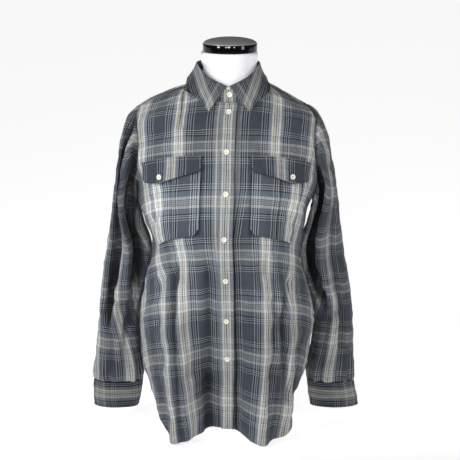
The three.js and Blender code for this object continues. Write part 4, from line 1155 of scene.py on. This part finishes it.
def band():
    nU, nV = 21, 260
    x = np.linspace(-BAND["left"], BAND["right"], nU)[:, None]
    vl = np.linspace(0, 1, 170) ** 0.92
    z = np.concatenate([low_z(0.0, vl), np.linspace(CHEST_LINE, NECK["front"] - 3, 91)[1:]])[None]
    a = angle_at(along(TORSO, "centre", z) + x, z * np.ones_like(x))
    z = z * np.ones_like(x)
    edge = ease((np.abs(x) - 9) / 4)
    puff = 0.5 * np.sin(z / 81 * 2 * np.pi + 0.8) * (1 - edge) + 0.35 * np.sin(z / 23) * ease((x - 6) / 10)
    lift = 1.1 + 1.5 + 0.7 + puff + 2.4 * ease((x - 9) / 7) - 0.5 * ease((-11 - x) / 3)
    P, UV = body_points(a, z, lift)
    UV = np.stack([x * np.ones_like(z), UV[..., 1]], -1)
    return shell("button_band_cloth", P, UV, "button_band", edge_u=True, edge_v=(True, False), phase=FRONT_PHASE)


band()


def on_front(side, across, thread, out):
    """Places on a front from how far across they are from the button line and their thread's height."""
    col = U_FRONT
    a = np.zeros(np.shape(across))
    T = thread
    # invert the table of distance across by a few steps
    lo, hi = np.zeros_like(a), np.full_like(a, 89.0)
    for _ in range(26):
        m = (lo + hi) / 2
        got = np.abs(bilinear(col, A_FRONT[0], side * m, T))
        lo, hi = np.where(got < across, m, lo), np.where(got < across, hi, m)
    a = side * (lo + hi) / 2
    return body_points(a, T - drop(a), out)


def flap_low(u):
    """Height of a flap's lower edge across it, with its point and its rounded ends."""
    low = np.where(
        u < FLAP["pointAt"],
        mix(FLAP["innerLow"], FLAP["pointLow"], u / FLAP["pointAt"]),
        mix(FLAP["pointLow"], FLAP["outerLow"], (u - FLAP["pointAt"]) / (1 - FLAP["pointAt"])),
    )
    return low + 6 * ease(1 - u / 0.05) + 6 * ease((u - 0.95) / 0.05)


POCKET_PHASE = {-1: (38.5, 32.5), 1: (-36.5, 32.5)}


def pocket(side, name):
    nU, nV = 97, 84
    u = np.linspace(0, 1, nU)[:, None]
    v = np.linspace(0, 1, nV)[None]
    across = mix(POCKET["inner"], POCKET["outer"], u) * np.ones_like(v)
    low = mix(POCKET["bottomInner"], POCKET["bottomOuter"], u) + POCKET["chamfer"] * ease(1 - u / 0.085) + 7 * ease((u - 0.94) / 0.06)
    T = mix(low, POCKET["top"], v)
    # inverted pleat: the inner half folds over the outer one
    pl = ease((u - 0.44) / 0.05) * (1 - ease((u - 0.503) / 0.012))
    raised = 2.6 * ease(u / 0.3) * (1 - ease((u - 0.500) / 0.02)) + 0.7 * pl
    R = Rough(50 + side, 26, 70, 14)
    puff = 2.2 * np.sin(np.pi * u) * np.sin(np.pi * np.clip(v, 0, 1)) ** 0.7
    out = LAYER + 1.1 + CLOTH + raised + puff + 0.55 * R(across, T) * np.sin(np.pi * u) * np.sin(np.pi * v)
    P, UV = on_front(side, across, T, out)
    vv = UV[..., 1]
    f_low = flap_low((across - FLAP["inner"]) / (FLAP["outer"] - FLAP["inner"]))
    # painted shadow under the flap's edge and in the pleat, painted shade beside the pleat; the whole pocket painted
    # lighter (×1.52), a little more on its outer half
    sh = (1 - 0.6 * np.exp(-((np.minimum(T - f_low, 0) / 3.2) ** 2))) * (1 - 0.62 * np.exp(-(((u - 0.507) * 108 / 1.7) ** 2)) * ease((0.98 - v) / 0.1))
    sh = sh * (1 - 0.25 * np.exp(-(((u - 0.43) * 108 / 5) ** 2))) * (1.52 + 0.06 * ease((u - 0.5) / 0.3))
    if side < 0:
        sh = sh[::-1]
    # the pleat hides a strip of cloth
    UV = np.stack([side * (across + 62 * ease((u - 0.5) / 0.012)), vv], -1)
    if side < 0:
        P, UV = P[::-1], UV[::-1]
    return shell(name + "_cloth", P, UV, name, edge_u=True, edge_v=(True, False), phase=POCKET_PHASE[side], shade=sh)


pocket(-1, "pocket_right")
pocket(1, "pocket_left")

FLAP_V = 53.5 - float(np.interp(572, _z, V_LINE))
FLAP_PHASE = {-1: (22.0, FLAP_V), 1: (-21.0, FLAP_V)}


def flap(side, name):
    nU, nV = 97, 26
    u = np.linspace(0, 1, nU)[:, None]
    v = np.linspace(0, 1, nV)[None]
    across = mix(FLAP["inner"], FLAP["outer"], u) * np.ones_like(v)
    low = flap_low(u)
    T = mix(low, FLAP["top"], v)
    R = Rough(60 + side, 24, 60, 12)
    out = 2 * (LAYER + CLOTH) + 1.2 + 1.8 * ease(u / 0.3) + 1.5 * np.sin(np.pi * u) + (2.6 + 1.5 * np.sin(u * 9 + side)) * (1 - v) ** 1.5 + 0.4 * R(across, T)
    P, UV = on_front(side, across, T, out)
    UV = np.stack([side * across, UV[..., 1]], -1)
    if side < 0:
        P, UV = P[::-1], UV[::-1]
    return shell(name + "_cloth", P, UV, name, edge_u=True, edge_v=(True, True), phase=FLAP_PHASE[side])


flap(-1, "flap_right")
flap(1, "flap_left")


# ------------------------------------------------------------------ collar
def stand_top(angle):
    k = np.cos(np.radians(angle))
    return np.where(k > 0, STAND["front"] + (STAND["side"] - STAND["front"]) * (1 - k), STAND["side"] - (STAND["back"] - STAND["side"]) * k)


def stand_point(angle, v, out=0.0):
    foot = torso(angle, neck_z(angle) + 0.6)
    s, k = np.sin(np.radians(angle)), np.cos(np.radians(angle))
    top = np.stack([-3.5 + 60.3 * s, -13 - np.where(k > 0, 59.5, 57.5) * k, stand_top(angle)], -1)
    f = foot + np.stack([-s * 3.2, k * 2.4, 0 * s + 0.6], -1)
    p = mix(f, top, v[..., None])
    return p + np.stack([s, -k, 0 * s], -1) * out


def stand():
    nU, nV = 150, 12
    a = np.linspace(-3.2, -356.8, nU)[:, None] * np.ones((1, nV))
    v = np.linspace(0, 1, nV)[None] * np.ones((nU, 1))
    P = stand_point(a, v)
    lu = np.concatenate([[0], np.cumsum(np.linalg.norm(np.diff(P[:, nV // 2], axis=0), axis=-1))])
    UV = np.stack([v * 34, (lu - lu[-1] / 2)[:, None] * np.ones((1, nV))], -1)
    # the stand is painted darker overall (shade 0.55): painted shade inside the collar
    shell("collar_stand_cloth", P[::-1], UV[::-1], "collar_stand", thick=2.0, shade=0.55, material="flannel_shaded", edge_u=False, edge_v=(True, False), phase=(36.0, 0.0))
    a = np.linspace(-12, 13, 26)[:, None] * np.ones((1, nV))
    cut = 1 - 0.14 * ease((a - 7) / 6)
    v = mix(-0.15, 0.96, np.linspace(0, 1, nV)[None])
    v = np.where(v > 0, v * cut, v)
    P = stand_point(a, v, 3.4)
    x = P[..., 0]
    UV = np.stack([x + 3, v * 30 + 245], -1)
    shell("collar_tab_cloth", P, UV, "collar_tab", thick=1.8, edge_v=(True, True), phase=FRONT_PHASE)


stand()


def collar():
    nU, nV = 181, 30
    t = np.linspace(-1, 1, nU)[:, None]
    h = np.linspace(0, 1, nV)[None]
    side = np.where(t < 0, -1.0, 1.0)
    m = 1 - np.abs(t)
    g = lambda c: along(FALL_LINE, c, m, "t")
    fold_p = np.stack([side * g("foldX") + FALL_SHIFT, g("foldY"), g("foldZ")], -1)
    wider = np.where(side < 0, 0.0, -8.0) * ease((m - 0.36) / 0.2) * ease((0.9 - m) / 0.15)
    edge_p = np.stack([side * (g("edgeX") + wider) + FALL_SHIFT * 0.6, g("edgeY"), g("edgeZ")], -1)
    P = mix(fold_p, edge_p, h[..., None])
    away = unit(np.concatenate([edge_p[..., :1] + 3, edge_p[..., 1:2] + 12, 0 * edge_p[..., :1]], -1))
    # soft roll at the fold, a slight lift at the points
    b = 4 * h * (1 - h) * mix(1.4, -1.6, ease((m - 0.1) / 0.3)) + 2.0 * np.exp(-h * 9) * ease(m / 0.15)
    lift = 1.8 * ease(1 - m / 0.14) * h**2
    R = Rough(71, 30, 80, 12)
    P = P + away * (b + lift + 0.35 * R(t * 210, h * 45))[..., None]
    P[..., 2] += 0.6 * (1 - h)
    # the fold turns over the stand: tuck the very top in
    tuck = np.exp(-h * 26)
    P = P - away * (tuck * 1.9)[..., None]
    lu = np.concatenate([[0], np.cumsum(np.linalg.norm(np.diff(P[:, nV // 2], axis=0), axis=-1))])
    lu = (lu - lu[-1] / 2)[:, None]
    width = np.linalg.norm(edge_p - fold_p, axis=-1)
    depth = h * width
    # stripes run round the neck and swing down to the points
    half = float(lu[-1, 0])
    swing = 46 * np.clip((np.abs(lu) - (half - 88)) / 88, 0, 1) ** 1.6
    UV = np.stack([depth - swing, lu * np.ones_like(h)], -1)
    return shell("collar_fall_cloth", P, UV, "collar_fall", material="flannel_shaded", edge_u=True, edge_v=(False, True), phase=(COLLAR_PHASE, 0.0))


COLLAR_PHASE = -6.0
collar()


# ------------------------------------------------------------------ buttons
def lathe(profile, sides):
    prof = np.array(profile, float)
    t = np.linspace(0, 2 * np.pi, sides, endpoint=False)
    verts, faces = [], []
    for r, z in prof:
        for a in t:
            verts.append((r * math.cos(a), r * math.sin(a), z))
    n = len(prof)
    for k in range(n - 1):
        for i in range(sides):
            j = (i + 1) % sides
            faces.append((k * sides + i, k * sides + j, (k + 1) * sides + j, (k + 1) * sides + i))
    faces.append(tuple(reversed(range(sides))))
    faces.append(tuple(range((n - 1) * sides, n * sides)))
    return np.array(verts), faces


def frame_of(n):
    n = unit(np.asarray(n, float))
    up = np.array([0, 0, 1.0]) if abs(n[2]) < 0.9 else np.array([0, 1.0, 0])
    x = unit(np.cross(up, n))
    return np.stack([x, np.cross(n, x), n])


def button(node, point, normal, spin=0.3):
    r, h = 5.4, 2.3
    prof = [(r * 0.80, 0), (r * 0.97, 0.5), (r, 1.1), (r * 0.97, 1.8), (r * 0.88, h), (r * 0.78, h - 0.1), (r * 0.70, h - 0.75), (r * 0.4, h - 0.95), (0.3, h - 1.0)]
    v, f = lathe(prof, 40)
    M = frame_of(normal)
    c, s = math.cos(spin), math.sin(spin)
    spinm = np.array([[c, s, 0], [-s, c, 0], [0, 0, 1]])
    place = lambda q: (q @ spinm) @ M + point
    o = add_mesh(node + "_disc", place(v), f, None, None, "button")
    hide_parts(node)
    # four holes with a cross of thread
    hv, hf = [], []
    for i in range(4):
        a = math.pi / 4 + i * math.pi / 2
        q, ff = lathe([(0.62, h - 1.0), (0.5, h - 0.86)], 14)
        q = q + [1.25 * math.cos(a), 1.25 * math.sin(a), 0]
        hf += [tuple(k + len(hv) * 0 + sum(len(x) for x in hv) for k in g) for g in ff]
        hv.append(q)
    o2 = add_mesh(node + "_holes", place(np.concatenate(hv)), hf, None, None, "button_dark")
    tv, tf = [], []
    for k in (-1, 1):
        x0, x1, y0, w, z0 = -1.35, 1.35, 1.0 * k * 0.9, 0.32, h - 0.86
        b = np.array([[x0, y0 - w, z0], [x1, y0 - w, z0], [x1, y0 + w, z0], [x0, y0 + w, z0], [x0, y0 - w, z0 + 0.35], [x1, y0 - w, z0 + 0.35], [x1, y0 + w, z0 + 0.35], [x0, y0 + w, z0 + 0.35]])
        base = 8 * len(tv)
        tf += [tuple(base + i for i in q) for q in ((3, 2, 1, 0), (4, 5, 6, 7), (0, 1, 5, 4), (1, 2, 6, 5), (2, 3, 7, 6), (3, 0, 4, 7))]
        tv.append(b)
    o3 = add_mesh(node + "_thread", place(np.concatenate(tv)), tf, None, None, "thread", smooth=False)


for i, z in enumerate(BUTTON_Z):
    c = float(along(TORSO, "centre", z))
    a = float(angle_at(c, z))
    P, _ = body_points(np.array([a]), np.array([float(z)]), 1.1 + 1.5 + 1.0)
    button(f"button_front_{i + 2}", P[0], torso_normal(np.array([a]), np.array([float(z)]))[0], 0.4 + i)
P = stand_point(np.array([0.8]), np.array([0.52]), 4.0)
button("button_front_1", P[0], (0, -1, 0.08))
for side, nm in ((-1, "right"), (1, "left")):
    across = np.array([mix(FLAP["inner"], FLAP["outer"], FLAP["pointAt"])])
    th = np.array([FLAP["pointLow"] + 12.0])
    o1 = 2 * (LAYER + CLOTH) + 6.2
    q, _ = on_front(side, across, th, o1)
    u_, v_ = cloth_uv(0, 0)
    a_ = np.array([side * 45.0])
    e, _ = on_front(side, across, th, o1 + 1)
    button("button_flap_" + nm, q[0], e[0] - q[0], 0.9)
    tab = SLEEVE[side]
    z, turn = (CUFF_TOP + CUFF_BOTTOM) / 2, 240
    inner, outer = float(along(tab, "inner", z)), float(along(tab, "outer", z))
    s, k = math.sin(math.radians(turn)), math.cos(math.radians(turn))
    half = (outer - inner) / 2
    on = np.array([mix(inner, outer, (1 - k) / 2), float(along(tab, "y", z)) - s * float(along(tab, "back", z)), z])
    n = unit(np.array([-k / half, -s / float(along(tab, "back", z)), 0]))
    button("button_cuff_" + nm, on + n * 2.0, n, 0.2)


# ------------------------------------------------------------------ dress form and cap
def form():
    sides = 144
    z = np.concatenate([[0.0, 1.2], np.linspace(4, 783, 190)])
    t = np.linspace(0, 2 * np.pi, sides, endpoint=False)[None]
    Z = z[:, None]
    half, fr, bk = along(FORM, "half", Z), along(FORM, "front", Z), along(FORM, "back", Z)
    inset = np.where(Z < 1, 2.0, 0.0)
    half, fr, bk = half - inset, fr + inset, bk - inset
    mid = (fr + bk) / 2
    power = mix(0.88, 1.0, ease((Z - 700) / 30))
    s, k = np.sin(t), np.cos(t)
    bare = ease((Z - 752) / 12)
    half = half + bare * 2.4 - 2.6 * ease((Z - 779) / 4)
    x = half * np.sign(s) * np.abs(s) ** power - 1.6 * bare
    y = mid - (bk - fr) / 2 * np.sign(k) * np.abs(k) ** power
    V = np.stack([x, y, Z * np.ones_like(x)], -1).reshape(-1, 3)
    ids = np.arange(len(z) * sides).reshape(len(z), sides)
    nx = np.roll(ids, -1, 1)
    F = np.stack([ids[:-1], nx[:-1], nx[1:], ids[1:]], -1).reshape(-1, 4).tolist()
    F.append(list(reversed(ids[0].tolist())))
    F.append(ids[-1].tolist())
    o = add_mesh("dress_form_body", V, F, None, None, "form")
    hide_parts("dress_form")


form()


def cap():
    R, lo, hi, dome = CAP["radius"], CAP["low"], CAP["high"], CAP["dome"]
    v, f = lathe([(R - 1.0, lo), (R - 0.2, lo + 0.5), (R, lo + 1.2), (R, hi - 1.4), (R - 0.3, hi - 0.5), (R - 1.0, hi)], 128)
    v[:, 1] += CAP["y"]
    o = add_mesh("neck_cap_band", v, f, None, None, "cap_band")
    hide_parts("neck_cap")
    prof = [(R - 1.2, hi + 0.02)] + [((R - 1.2) * math.cos(a), hi + 0.02 + dome * math.sin(a)) for a in np.linspace(0.03, 1.5, 26)]
    v, f = lathe(prof, 128)
    v[:, 1] += CAP["y"]
    o = add_mesh("neck_cap_top", v, f, None, None, "cap_top")


cap()

# ------------------------------------------------------------------ floor
me = bpy.data.meshes.new("floor")
S = 30.0
me.from_pydata([(-S, -S, -0.0005), (S, -S, -0.0005), (S, S, -0.0005), (-S, S, -0.0005)], [], [(0, 1, 2, 3)])
floor = bpy.data.objects.new("floor", me)
scene.collection.objects.link(floor)
me.materials.append(MATERIALS["floor"])
scene.view_settings.view_transform = "Standard"
